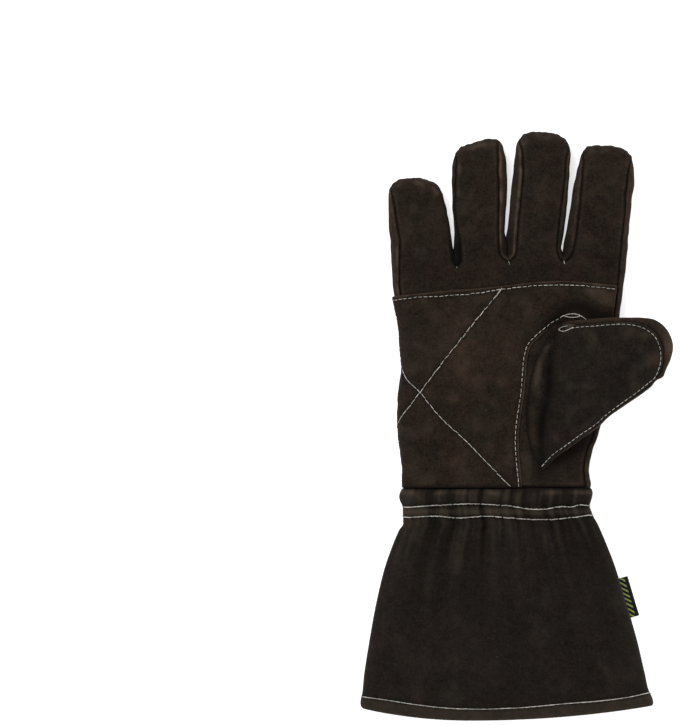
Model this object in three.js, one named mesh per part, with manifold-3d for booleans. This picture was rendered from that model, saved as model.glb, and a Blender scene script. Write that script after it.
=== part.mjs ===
// A right-hand leather barbecue glove with a gauntlet cuff, lying palm up.
// Millimetres, +Z up from the surface it lies on, +Y towards the fingertips, +X towards the thumb.
// Every hollow tube of the glove is lofted through short tables of sections, and the sewn panels are
// cut out of those hollow walls along the seams.
import * as THREE from "three";
import { mergeVertices } from "three/addons/utils/BufferGeometryUtils.js";
import Module from "manifold-3d";

const wasm = await Module();
wasm.setup();

// Driving dimensions
const LEATHER = 1.8; // wall of the split leather
const PATCH_LEATHER = 1.6; // second layer sewn over the palm
const HEM_LEATHER = 3; // cuff edge, folded once inwards and pressed
const HEM_WIDTH = 6.5;
const HEM_STEP = 0.3; // length over which the wall steps up to the folded hem
const SEAM_GAP = 0.3; // between pieces that meet at a seam
const PALM_SEAM_HEIGHT = 13.4; // where the palm panel meets the finger sides
const BACK_SEAM_HEIGHT = 4.2; // where the back panel meets the side strips along the hand
const FINGER_BACK_SEAM_HEIGHT = 2; // the same along the fingers, whose backs lie flat
const TIP_SEAM_HEIGHT = 8.8; // where palm and back panel meet over a fingertip
const TIP_SEAM_DEPTH = 7; // how far that tip seam reaches down the finger
const TOE_DEPTH = 13; // from here to the tip the underside rises off the surface,
const TOE_SEAM_HEIGHT = 3.2; // and the back panel's seam with it
const OVERSHOOT = 2; // what a cutting shape runs past an open end by

// Roundness of a section: 2 is an ellipse, higher is boxier
const CROWN = 2.4;
const SIDE = 3;
const SIDE_HEIGHT = 0.46; // height of the widest point, as a share of the section's height
const UNDERSIDE = 1.3; // above 1 the underside is pressed flat on the surface

const HAND_SIDES = 36;
const FINGER_SIDES = 18;
const THUMB_SIDES = 22;
const CUFF_SIDES = 48;

// The hand from the wrist seam to the finger roots. under is 1 where the palm patch wraps beneath the
// little finger's side, which lifts that side by the patch.
const HAND = [
  { y: -36.9, left: -68.4, right: 44.1, height: 18.9, under: 1 },
  { y: -26.5, left: -68.4, right: 43.4, height: 19.5, under: 1 },
  { y: -14.3, left: -69.9, right: 45.5, height: 19.9, under: 1 },
  { y: 10.0, left: -71.4, right: 54.2, height: 20.3, under: 1 },
  { y: 40.6, left: -69.0, right: 58.4, height: 20.3, under: 1 },
  { y: 79.0, left: -73.0, right: 62.3, height: 19.6, under: 1 },
  { y: 88.0, left: -75.2, right: 63.6, height: 19.1, under: 0 },
  { y: 96.0, left: -75.9, right: 64.8, height: 18.4, under: 0 },
];
const PATCH_SHARE = -0.48; // share of the hand's half width up to which its underside is raised
const PATCH_RAMP = 0.18; // share over which the back of the hand comes down to the surface again
const KNUCKLE_ROUNDING = 5; // the hand ends this far past its last section, between the fingers

// The fingers: centre line from inside the hand to the tip, and the width at both ends
const FINGERS = [
  { name: "little", rootX: -53.8, tipX: -62.3, tipY: 152.0, rootWidth: 39.0, tipWidth: 31.8 },
  { name: "ring", rootX: -23.1, tipX: -23.1, tipY: 177.4, rootWidth: 30.8, tipWidth: 33.0 },
  { name: "middle", rootX: 7.3, tipX: 17.3, tipY: 179.6, rootWidth: 34.0, tipWidth: 33.6 },
  { name: "index", rootX: 43.6, tipX: 55.9, tipY: 171.0, rootWidth: 37.4, tipWidth: 35.0 },
];
const FINGER_ROOT_Y = 87;
const FINGER_ROOT_HEIGHT = 18.6;
const FINGER_TIP_HEIGHT = 16.4;
const TIP_ROUNDING = 15; // length of the rounded end
const TIP_ROUNDNESS = 2.7;
const TIP_CLOSURE = 0.97; // share of the quarter turn that closes a rounded end
const TIP_STEPS = 3;
const FINGER_STEPS = 2;

// The thumb lies across the palm: sections across X, from the crease in the palm to the tip
const THUMB = [
  { x: 9.0, top: 35.0, bottom: -15.0, base: 3.6, height: 19.4 },
  { x: 17.0, top: 52.8, bottom: -21.7, base: 4.2, height: 22.8 },
  { x: 26.0, top: 60.2, bottom: -15.4, base: 6.6, height: 24.2 },
  { x: 35.3, top: 63.7, bottom: -8.6, base: 11.6, height: 22.8 },
  { x: 50.5, top: 65.6, bottom: 2.5, base: 18.9, height: 19.0 },
  { x: 65.8, top: 66.2, bottom: 13.5, base: 21.0, height: 18.0 },
  { x: 78.0, top: 65.9, bottom: 22.4, base: 20.6, height: 17.4 },
  { x: 86.0, top: 63.4, bottom: 29.0, base: 20.6, height: 15.4 },
];
const THUMB_HEEL_ROUNDING = 3.6;
const THUMB_TIP_ROUNDING = 9.3;
const THUMB_SEAM_SHARE = 0.72; // height of the seam between the thumb's two panels

// The gauntlet cuff from the wrist seam to the open mouth. gather is the depth of the folds that the
// elastic draws on the palm side, under their depth beneath, and sag how far the row bows towards the
// mouth at its lowest place.
const CUFF = [
  { y: -37.2, left: -70.2, right: 44.6, height: 19.2, gather: 0.3, under: 0.3, sag: 0.0 },
  { y: -42.3, left: -71.6, right: 45.0, height: 20.4, gather: 0.7, under: 0.7, sag: 0.0 },
  { y: -47.9, left: -69.8, right: 43.6, height: 17.4, gather: 0.9, under: 0.9, sag: 0.0 },
  { y: -52.0, left: -70.4, right: 45.2, height: 18.8, gather: 1.0, under: 1.0, sag: 0.2 },
  { y: -55.8, left: -69.5, right: 46.0, height: 17.4, gather: 1.1, under: 1.1, sag: 0.5 },
  { y: -66.0, left: -73.3, right: 51.4, height: 21.5, gather: 1.4, under: 0.8, sag: 1.5 },
  { y: -82.0, left: -79.9, right: 57.9, height: 25.5, gather: 1.4, under: 0.3, sag: 3.0 },
  { y: -103.0, left: -85.2, right: 64.4, height: 29.5, gather: 1.2, under: 0.0, sag: 5.5 },
  { y: -130.0, left: -90.5, right: 72.3, height: 33.0, gather: 0.9, under: 0.0, sag: 8.5 },
  { y: -161.5, left: -94.7, right: 80.6, height: 35.5, gather: 0.6, under: 0.0, sag: 11.5 },
  { y: -168.0, left: -95.3, right: 82.2, height: 36.0, gather: 0.6, under: 0.0, sag: 11.6 },
];
const CUFF_FOLDS = 6; // gathers across the palm side
const CUFF_LOWEST = -0.25; // the lowest place of a row, from -1 at the left edge to 1 at the right
const CUFF_SAG_POWER = 2;
const CUFF_SIDE_SEAM_HEIGHT = 8;
const CUFF_WRAP = 12; // how far the palm side of the cuff wraps under at the thumb's edge

// The seam that sets the thumb's base into the palm, from the thumb's crotch to the wrist
const THUMB_SEAM = [
  [41.4, 65.6],
  [32.8, 68.0],
  [26.7, 66.8],
  [16.1, 60.1],
  [7.0, 51.2],
  [4.6, 45.6],
  [2.8, 31.7],
  [0.7, 12.0],
  [-1.3, -10.4],
  [0.0, -24.4],
  [1.1, -36.9],
];
const PATCH_SEAM_MARGIN = 1.8; // the patch stops this far from the thumb seam
// The patch's edge below the fingers, from the little finger's side to the index finger's side
const PATCH_TOP_EDGE = [
  [-53.2, 79.6],
  [-28.8, 82.0],
  [-8.7, 83.9],
  [13.9, 86.0],
  [35.3, 86.3],
  [56.0, 84.6],
];
const PATCH_BACK_EDGE_X = -43.5; // where the wrapped patch ends on the back of the hand
const PATCH_BACK_TOP_Y = 79;
const PATCH_FREE_Y = 88; // past this the hand's underside isn't raised by the patch

// The folded ribbon tab in the cuff's thumb-side seam
const TAB = { x: 62.6, y: -104.2, z: 1, reach: 18, length: 25, thickness: 1.4, turn: 0.29 };

const FAR = 400; // larger than the glove, for cutting solids

/** The solid of a closed three.js geometry. */
function solidOf(geometry) {
  const bare = new THREE.BufferGeometry();
  const source = geometry.index ? geometry.toNonIndexed() : geometry;
  bare.setAttribute("position", source.getAttribute("position"));
  const merged = mergeVertices(bare, 1e-4);
  return new wasm.Manifold(
    new wasm.Mesh({
      numProp: 3,
      vertProperties: merged.attributes.position.array,
      triVerts: new Uint32Array(merged.index.array),
    }),
  );
}

/** A closed body through rings of equally many points, each end closed by a fan. */
function loft(rings) {
  const sides = rings[0].length;
  const centre = (ring) => ring.reduce((sum, p) => sum.add(p), new THREE.Vector3()).divideScalar(sides);
  const points = [...rings.flat(), centre(rings[0]), centre(rings.at(-1))];
  const firstCentre = rings.length * sides;
  const lastCentre = firstCentre + 1;
  const lastRing = (rings.length - 1) * sides;
  const index = [];
  for (let i = 0; i < sides; i++) {
    const j = (i + 1) % sides;
    for (let r = 0; r < rings.length - 1; r++) {
      const here = r * sides;
      const next = here + sides;
      index.push(here + i, here + j, next + i, here + j, next + j, next + i);
    }
    index.push(firstCentre, j, i, lastCentre, lastRing + i, lastRing + j);
  }
  const geometry = new THREE.BufferGeometry().setFromPoints(points);
  geometry.setIndex(index);
  if (signedVolume(points, index) < 0) geometry.setIndex(index.reverse());
  return solidOf(geometry);
}

/** Six times the signed volume of a closed triangle mesh. */
function signedVolume(points, index) {
  let sum = 0;
  for (let i = 0; i < index.length; i += 3) {
    const [a, b, c] = [points[index[i]], points[index[i + 1]], points[index[i + 2]]];
    sum += a.dot(b.clone().cross(c));
  }
  return sum;
}

const power = (value, exponent) => Math.sign(value) * Math.abs(value) ** exponent;

/**
 * One ring across a soft tube: flat underneath, rounded at the sides and crowned on top.
 * A section has two ends in plan, a base and a height. inset takes the ring inwards by a wall, and
 * a negative one grows it. lift(share, rise) raises a point by its place across and round the ring.
 */
function ringOf(section, inset, sides, lift = () => 0) {
  const { from, to, base, height } = section;
  const middle = from.clone().add(to).multiplyScalar(0.5);
  const across = to.clone().sub(from).normalize();
  const halfWidth = from.distanceTo(to) / 2 - inset;
  const widest = base + SIDE_HEIGHT * height;
  const top = base + height - inset;
  const bottom = base + inset;
  const flat = section.flat ?? true;
  return Array.from({ length: sides }, (_, i) => {
    const angle = (2 * Math.PI * i) / sides;
    const share = power(Math.cos(angle), 2 / SIDE);
    const rise = Math.sin(angle);
    const upper = widest + (top - widest) * Math.abs(rise) ** (2 / CROWN);
    const drop = (widest - bottom) * Math.abs(rise) ** (2 / SIDE);
    const lower = flat ? Math.max(bottom, widest - UNDERSIDE * drop) : widest - drop;
    const spot = middle.clone().addScaledVector(across, share * halfWidth);
    const away = (share - CUFF_LOWEST) / (Math.sign(share - CUFF_LOWEST) - CUFF_LOWEST);
    const bow = (section.sag ?? 0) * (1 - away ** CUFF_SAG_POWER);
    const z = (rise >= 0 ? upper : lower) + lift(share, rise);
    return new THREE.Vector3(spot.x, spot.y - bow, z);
  });
}

/** Rounds off the end of a tube: sections that shrink towards a point past the last one. */
function roundedEnd(last, direction, reach, inset) {
  const middle = last.from.clone().add(last.to).multiplyScalar(0.5);
  return Array.from({ length: TIP_STEPS }, (_, i) => {
    const angle = ((i + 1) / TIP_STEPS) * (Math.PI / 2) * TIP_CLOSURE;
    const along = Math.sin(angle) ** (2 / TIP_ROUNDNESS) * (reach - inset);
    const shrink = Math.cos(angle) ** (2 / TIP_ROUNDNESS);
    const shift = direction.clone().multiplyScalar(along);
    const end = (corner) => middle.clone().lerp(corner, shrink).add(shift);
    const height = last.height * shrink;
    const base = last.base + (last.height - height) * SIDE_HEIGHT;
    return { ...last, from: end(last.from), to: end(last.to), base, height };
  });
}

const plan = (x, y) => new THREE.Vector2(x, y);
const acrossX = (row) => ({ ...row, base: 0, from: plan(row.left, row.y), to: plan(row.right, row.y) });
const acrossY = (row) => ({ ...row, from: plan(row.x, row.top), to: plan(row.x, row.bottom), flat: false });

/** The hand's tube, grown or inset. openBy lengthens it past the wrist. */
function handTube(inset, openBy = 0) {
  const rows = HAND.map(acrossX);
  if (openBy) {
    const wrist = { ...HAND[0], y: HAND[0].y - openBy };
    rows.unshift(acrossX(wrist));
  }
  rows.push(...roundedEnd(rows.at(-1), plan(0, 1), KNUCKLE_ROUNDING, inset).slice(0, -1));
  return loft(rows.map((row) => ringOf(row, inset, HAND_SIDES, patchLift(row.under))));
}

/** What the wrapped patch raises the underside of the hand by. */
function patchLift(under) {
  const thickness = under * (PATCH_LEATHER + SEAM_GAP);
  return (share, rise) => {
    const beyondPatch = THREE.MathUtils.smoothstep(share, PATCH_SHARE, PATCH_SHARE + PATCH_RAMP);
    const pressed = Math.min(1, UNDERSIDE * Math.abs(rise) ** (2 / SIDE));
    return rise < 0 ? thickness * (1 - beyondPatch) * pressed : 0;
  };
}

/** One finger's tube. */
function fingerTube(finger, inset) {
  const root = plan(finger.rootX, FINGER_ROOT_Y);
  const tip = plan(finger.tipX, finger.tipY);
  const direction = tip.clone().sub(root).normalize();
  const across = plan(direction.y, -direction.x);
  const shoulder = tip.clone().addScaledVector(direction, -TIP_ROUNDING);
  const rows = Array.from({ length: FINGER_STEPS + 1 }, (_, i) => {
    const share = i / FINGER_STEPS;
    const middle = root.clone().lerp(shoulder, share);
    const reach = THREE.MathUtils.lerp(finger.rootWidth, finger.tipWidth, share) / 2;
    return {
      from: middle.clone().addScaledVector(across, -reach),
      to: middle.clone().addScaledVector(across, reach),
      base: 0,
      height: THREE.MathUtils.lerp(FINGER_ROOT_HEIGHT, FINGER_TIP_HEIGHT, share),
    };
  });
  rows.push(...roundedEnd(rows.at(-1), direction, TIP_ROUNDING, inset));
  return loft(rows.map((row) => ringOf(row, inset, FINGER_SIDES)));
}

/** The thumb's pouch, round at its heel in the palm and at its tip. */
function thumbTube(inset) {
  const rows = THUMB.map(acrossY);
  const heelInset = Math.min(inset, THUMB_HEEL_ROUNDING - 1);
  const heel = roundedEnd(rows[0], plan(-1, 0), THUMB_HEEL_ROUNDING, heelInset);
  const tip = roundedEnd(rows.at(-1), plan(1, 0), THUMB_TIP_ROUNDING, inset);
  return loft([...heel.reverse(), ...rows, ...tip].map((row) => ringOf(row, inset, THUMB_SIDES)));
}

/** Folds of the gathered cuff: waves on the palm side, and beneath it folds that only lift. */
function cuffLift(row) {
  return (share, rise) => {
    const wave = Math.cos(Math.PI * CUFF_FOLDS * share);
    const fade = Math.abs(rise) ** 0.5;
    return rise >= 0 ? row.gather * fade * wave : row.under * fade * (0.5 + 0.5 * wave);
  };
}

/** The cuff's tube. The inner one is open at both ends and narrower along the folded hem. */
function cuffTube(inset, open = false) {
  const ring = (row, wall) => ringOf(acrossX(row), wall, CUFF_SIDES, cuffLift(row));
  if (!open) return loft(CUFF.map((row) => ring(row, inset)));
  const mouth = CUFF.at(-1);
  const wrist = CUFF[0];
  const rings = CUFF.slice(0, -1).map((row) => ring(row, inset));
  rings.unshift(ring({ ...wrist, y: wrist.y + OVERSHOOT }, inset));
  rings.push(ring({ ...CUFF.at(-2), y: mouth.y + HEM_WIDTH - HEM_STEP }, HEM_LEATHER));
  rings.push(ring({ ...mouth, y: mouth.y - OVERSHOOT }, HEM_LEATHER));
  return loft(rings);
}

/** A block between two heights whose plan is a polygon. */
function prism(corners, low, high) {
  const shape = new THREE.Shape(corners.map(([x, y]) => plan(x, y)));
  const geometry = new THREE.ExtrudeGeometry(shape, { depth: high - low, bevelEnabled: false });
  return solidOf(geometry.translate(0, 0, low));
}

const rectangle = (left, low, right, high) => [
  [left, low],
  [right, low],
  [right, high],
  [left, high],
];

/** Everything between two heights. */
const layer = (low, high) => prism(rectangle(-FAR, -FAR, FAR, FAR), low, high);

/** The last part of each finger, where a panel turns over the tip, between two heights. */
function fingertips(depth, grow, low, high) {
  return FINGERS.map((finger) => {
    const edge = finger.tipY - depth - grow;
    const end = finger.tipY + OVERSHOOT;
    const reach = finger.tipWidth / 2 + OVERSHOOT;
    return prism(rectangle(finger.tipX - reach, edge, finger.tipX + reach, end), low, high);
  });
}

const union = (solids) => solids.reduce((whole, solid) => whole.add(solid));
const halfGap = SEAM_GAP / 2;

// Hollow walls of the hand and fingers, with the hole that the thumb's pouch is set into
const fingerTubes = (inset) => FINGERS.map((finger) => fingerTube(finger, inset));
const handWall = union([handTube(0), ...fingerTubes(0)])
  .subtract(union([handTube(LEATHER, OVERSHOOT), ...fingerTubes(LEATHER)]))
  .subtract(thumbTube(-SEAM_GAP));

// Palm side, back and the strips between them
const palmRegion = (grow) =>
  union([
    layer(PALM_SEAM_HEIGHT - grow, FAR),
    ...fingertips(TIP_SEAM_DEPTH, grow, TIP_SEAM_HEIGHT - grow, FAR),
  ]);
const handPlan = (grow) => rectangle(-FAR, -FAR, FAR, PATCH_FREE_Y + grow);
const backRegion = (grow) =>
  union([
    layer(-FAR, FINGER_BACK_SEAM_HEIGHT + grow),
    prism(handPlan(grow), -FAR, BACK_SEAM_HEIGHT + grow),
    ...fingertips(TOE_DEPTH, grow, -FAR, TOE_SEAM_HEIGHT + grow),
    ...fingertips(TIP_SEAM_DEPTH, grow, -FAR, TIP_SEAM_HEIGHT + grow),
  ]);
const palmWall = handWall.intersect(palmRegion(-halfGap));
const backPanel = handWall.intersect(backRegion(-halfGap));
const strips = handWall.subtract(palmRegion(halfGap)).subtract(backRegion(halfGap)).decompose();

// The palm wall is two pieces of leather: the palm with the finger fronts, and the thumb's base
const beyond = HAND[0].y - OVERSHOOT;
const thumbBasePlan = (shift) => [
  [FAR, THUMB_SEAM[0][1] + shift],
  ...THUMB_SEAM.map(([x, y]) => [x - shift, y + shift]),
  [THUMB_SEAM.at(-1)[0] - shift, beyond],
  [FAR, beyond],
];
const thumbBase = palmWall.intersect(prism(thumbBasePlan(-halfGap), 0, FAR));
const palmPanel = palmWall.subtract(prism(thumbBasePlan(halfGap), 0, FAR));

// The palm patch lies over the palm and wraps round the little finger's side on to the back
const seamEdge = THUMB_SEAM.slice(1).map(([x, y]) => [x - PATCH_SEAM_MARGIN, y + PATCH_SEAM_MARGIN]);
const wristEnd = HAND[0].y;
const patchFrontPlan = [
  [-FAR, PATCH_BACK_TOP_Y],
  ...PATCH_TOP_EDGE,
  [PATCH_TOP_EDGE.at(-1)[0], THUMB_SEAM[1][1] + PATCH_SEAM_MARGIN],
  ...seamEdge.slice(0, -1),
  [seamEdge.at(-1)[0], wristEnd],
  [-FAR, wristEnd],
];
const patchBackPlan = rectangle(-FAR, wristEnd, PATCH_BACK_EDGE_X, PATCH_BACK_TOP_Y);
const patchRegion = prism(patchFrontPlan, TIP_SEAM_HEIGHT, FAR).add(
  prism(patchBackPlan, -FAR, TIP_SEAM_HEIGHT + OVERSHOOT),
);
const palmPatch = handTube(-SEAM_GAP - PATCH_LEATHER)
  .subtract(handTube(-SEAM_GAP, OVERSHOOT))
  .intersect(patchRegion)
  .subtract(thumbTube(-SEAM_GAP));

// The thumb's pouch outside the hand, in a front panel and the panel that wraps its sides and back
const thumbWall = thumbTube(0).subtract(thumbTube(LEATHER)).subtract(handTube(-SEAM_GAP));
const thumbLid = (grow) => {
  const seam = (row) => row.base + THUMB_SEAM_SHARE * row.height - grow;
  const rows = [{ ...THUMB[0], x: -FAR / 2 }, ...THUMB, { ...THUMB.at(-1), x: FAR / 2 }];
  const corner = (row, y, z) => new THREE.Vector3(row.x, y, z);
  return loft(
    rows.map((row) => [
      corner(row, -FAR, seam(row)),
      corner(row, FAR, seam(row)),
      corner(row, FAR, FAR),
      corner(row, -FAR, FAR),
    ]),
  );
};
const thumbFront = thumbWall.intersect(thumbLid(-halfGap));
const thumbBack = thumbWall.subtract(thumbLid(halfGap));

// The cuff's two panels: the palm side wraps under at the thumb's edge
const cuffWall = cuffTube(0).subtract(cuffTube(LEATHER, true));
const cuffBackPlan = (shift) => [
  [-FAR, 0],
  [CUFF[0].right - CUFF_WRAP + shift, 0],
  [CUFF[0].right - CUFF_WRAP + shift, CUFF[0].y],
  [CUFF.at(-1).right - CUFF_WRAP + shift, CUFF.at(-1).y],
  [CUFF.at(-1).right - CUFF_WRAP + shift, -FAR],
  [-FAR, -FAR],
];
const cuffBackRegion = (grow) => prism(cuffBackPlan(grow), -FAR, CUFF_SIDE_SEAM_HEIGHT + grow);
const cuffBack = cuffWall.intersect(cuffBackRegion(-halfGap));
const cuffPalm = cuffWall.subtract(cuffBackRegion(halfGap));

const tabBlank = new THREE.BoxGeometry(TAB.reach, TAB.length, TAB.thickness);
tabBlank.rotateZ(TAB.turn).translate(TAB.x, TAB.y, TAB.z);
const sideTab = solidOf(tabBlank).subtract(cuffTube(-SEAM_GAP));

// Dark brown split leather, a little lighter where the nap is rubbed, and a black woven ribbon
const leather = (color) => new THREE.MeshStandardMaterial({ color, roughness: 0.95, metalness: 0 });
const palmLeather = leather(0x2b211c);
const patchLeather = leather(0x2f241e);
const backLeather = leather(0x26201c);
const stripLeather = leather(0x32271f);
const cuffLeather = leather(0x211c19);
const ribbon = new THREE.MeshStandardMaterial({ color: 0x12151c, roughness: 0.8, metalness: 0 });

/** The largest body of a solid as a named mesh: seams can leave crumbs in a corner. */
function mesh(name, solid, material) {
  const largest = solid.decompose().reduce((a, b) => (a.volume() > b.volume() ? a : b));
  const { vertProperties, triVerts } = largest.getMesh();
  const geometry = new THREE.BufferGeometry();
  geometry.setAttribute("position", new THREE.BufferAttribute(vertProperties, 3));
  geometry.setIndex(new THREE.BufferAttribute(triVerts, 1));
  geometry.computeVertexNormals();
  const made = new THREE.Mesh(geometry, material);
  made.name = name;
  return made;
}

// The strips from the little finger's outer side to the index finger's outer side, in order along X
const STRIP_NAMES = [
  "side_strip_little",
  "fourchette_little_ring",
  "fourchette_ring_middle",
  "fourchette_middle_index",
  "side_strip_index",
];
const centreX = (solid) => (solid.boundingBox().min[0] + solid.boundingBox().max[0]) / 2;
const largestStrips = strips
  .sort((a, b) => b.volume() - a.volume())
  .slice(0, STRIP_NAMES.length)
  .sort((a, b) => centreX(a) - centreX(b));

const glove = new THREE.Group();
glove.add(
  mesh("palm_panel", palmPanel, palmLeather),
  mesh("thumb_base", thumbBase, palmLeather),
  mesh("palm_patch", palmPatch, patchLeather),
  mesh("back_panel", backPanel, backLeather),
  ...largestStrips.map((strip, i) => mesh(STRIP_NAMES[i], strip, stripLeather)),
  mesh("thumb_front", thumbFront, backLeather),
  mesh("thumb_back", thumbBack, stripLeather),
  mesh("cuff_palm", cuffPalm, cuffLeather),
  mesh("cuff_back", cuffBack, cuffLeather),
  mesh("side_tab", sideTab, ribbon),
);

// The origin is under the middle of the glove, on the surface it lies on
const box = new THREE.Box3().setFromObject(glove);
const middle = box.getCenter(new THREE.Vector3());
glove.position.set(-middle.x, -middle.y, -box.min.z);

export default glove;
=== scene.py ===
"""A leather barbecue glove, right hand, lying palm up: suede panels, sewn seams and a gathered cuff.

Sizes are in millimetres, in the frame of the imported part: X to the thumb, Y to the fingertips and Z up
out of the palm. They become metres where a mesh is made.
"""

import bpy
import numpy as np
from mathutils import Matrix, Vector, geometry, noise
from mathutils.bvhtree import BVHTree


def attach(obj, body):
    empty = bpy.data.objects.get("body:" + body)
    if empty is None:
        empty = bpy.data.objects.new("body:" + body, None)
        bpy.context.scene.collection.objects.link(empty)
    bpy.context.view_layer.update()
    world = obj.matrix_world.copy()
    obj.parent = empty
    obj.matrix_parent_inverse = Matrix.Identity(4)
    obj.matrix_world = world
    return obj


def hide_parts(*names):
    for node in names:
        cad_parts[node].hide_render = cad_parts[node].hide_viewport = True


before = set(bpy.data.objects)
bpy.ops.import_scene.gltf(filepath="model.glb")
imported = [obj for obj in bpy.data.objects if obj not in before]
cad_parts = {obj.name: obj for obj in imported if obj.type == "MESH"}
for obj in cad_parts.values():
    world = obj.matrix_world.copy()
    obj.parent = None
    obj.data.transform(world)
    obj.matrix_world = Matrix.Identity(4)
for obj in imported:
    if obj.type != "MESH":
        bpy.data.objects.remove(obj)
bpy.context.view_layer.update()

# Camera
# It hangs straight above the middle of the picture, far up, so that the glove lies in it as on paper.
MM = 0.001
PICTURE_HEIGHT_PIXELS = 725
MM_PER_PIXEL = 0.61
PICTURE_MIDDLE = (-108.0, 39.3)
CAMERA_HEIGHT = 12000
CAMERA_SENSOR = 36
CAMERA_SIGHT_METRES = 50


def placed(name, data):
    """A new object in the scene."""
    made = bpy.data.objects.new(name, data)
    bpy.context.scene.collection.objects.link(made)
    return made


camera_data = bpy.data.cameras.new("camera")
camera_data.sensor_width = CAMERA_SENSOR
camera_data.lens = CAMERA_SENSOR * CAMERA_HEIGHT / (PICTURE_HEIGHT_PIXELS * MM_PER_PIXEL)
camera_data.clip_end = CAMERA_SIGHT_METRES
camera = placed("camera", camera_data)
camera.location = Vector((*PICTURE_MIDDLE, CAMERA_HEIGHT)) * MM
bpy.context.scene.camera = camera

# Floor and light
# A white sheet, lit a little from below, under a large soft lamp at the upper left and a weaker one
# across from it.
FLOOR_REACH = 6000
FLOOR_WHITE = (0.86, 0.86, 0.86, 1)
FLOOR_GLOW = 0.60
SKY_STRENGTH = 0.70
LAMPS = [
    {"name": "key_lamp", "at": (-900, 1100, 1900), "size": 1500, "watts": 30},
    {"name": "fill_lamp", "at": (1300, -900, 1500), "size": 1600, "watts": 11},
]


def fill(node, sockets):
    """Gives each named input of a node a constant, or joins it to another node's output."""
    for name, value in sockets.items():
        if isinstance(value, bpy.types.NodeSocket):
            node.id_data.links.new(value, node.inputs[name])
        else:
            node.inputs[name].default_value = value


def new_material(name, sockets):
    """A material with the given constants on its shader."""
    material = bpy.data.materials.new(name)
    material.use_nodes = True
    fill(material.node_tree.nodes["Principled BSDF"], sockets)
    return material


floor_mesh = bpy.data.meshes.new("floor")
floor_corners = [(-1, -1, 0), (1, -1, 0), (1, 1, 0), (-1, 1, 0)]
floor_mesh.from_pydata([Vector(c) * FLOOR_REACH * MM for c in floor_corners], [], [(0, 1, 2, 3)])
floor_mesh.materials.append(new_material("paper", {
    "Base Color": FLOOR_WHITE, "Roughness": 1,
    "Emission Color": (1, 1, 1, 1), "Emission Strength": FLOOR_GLOW,
}))
floor = placed("floor", floor_mesh)

for lamp in LAMPS:
    light = bpy.data.lights.new(lamp["name"], "AREA")
    light.shape = "DISK"
    light.size = lamp["size"] * MM
    light.energy = lamp["watts"]
    holder = placed(lamp["name"], light)
    holder.location = Vector(lamp["at"]) * MM
    holder.rotation_euler = (-holder.location).to_track_quat("-Z", "Y").to_euler()

sky = bpy.data.worlds.new("sky")
sky.use_nodes = True
fill(sky.node_tree.nodes["Background"], {"Strength": SKY_STRENGTH, "Color": (1, 1, 1, 1)})
bpy.context.scene.world = sky
bpy.context.scene.view_settings.view_transform = "Standard"

# Palm
# One piece of dark brown split leather, 1.8 mm thick: the palm and the fronts of the four fingers. Its
# edges are turned in and sewn to the strips between the fingers.
LEATHER = 1.8
POINT_SPACING = 1.35
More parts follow.
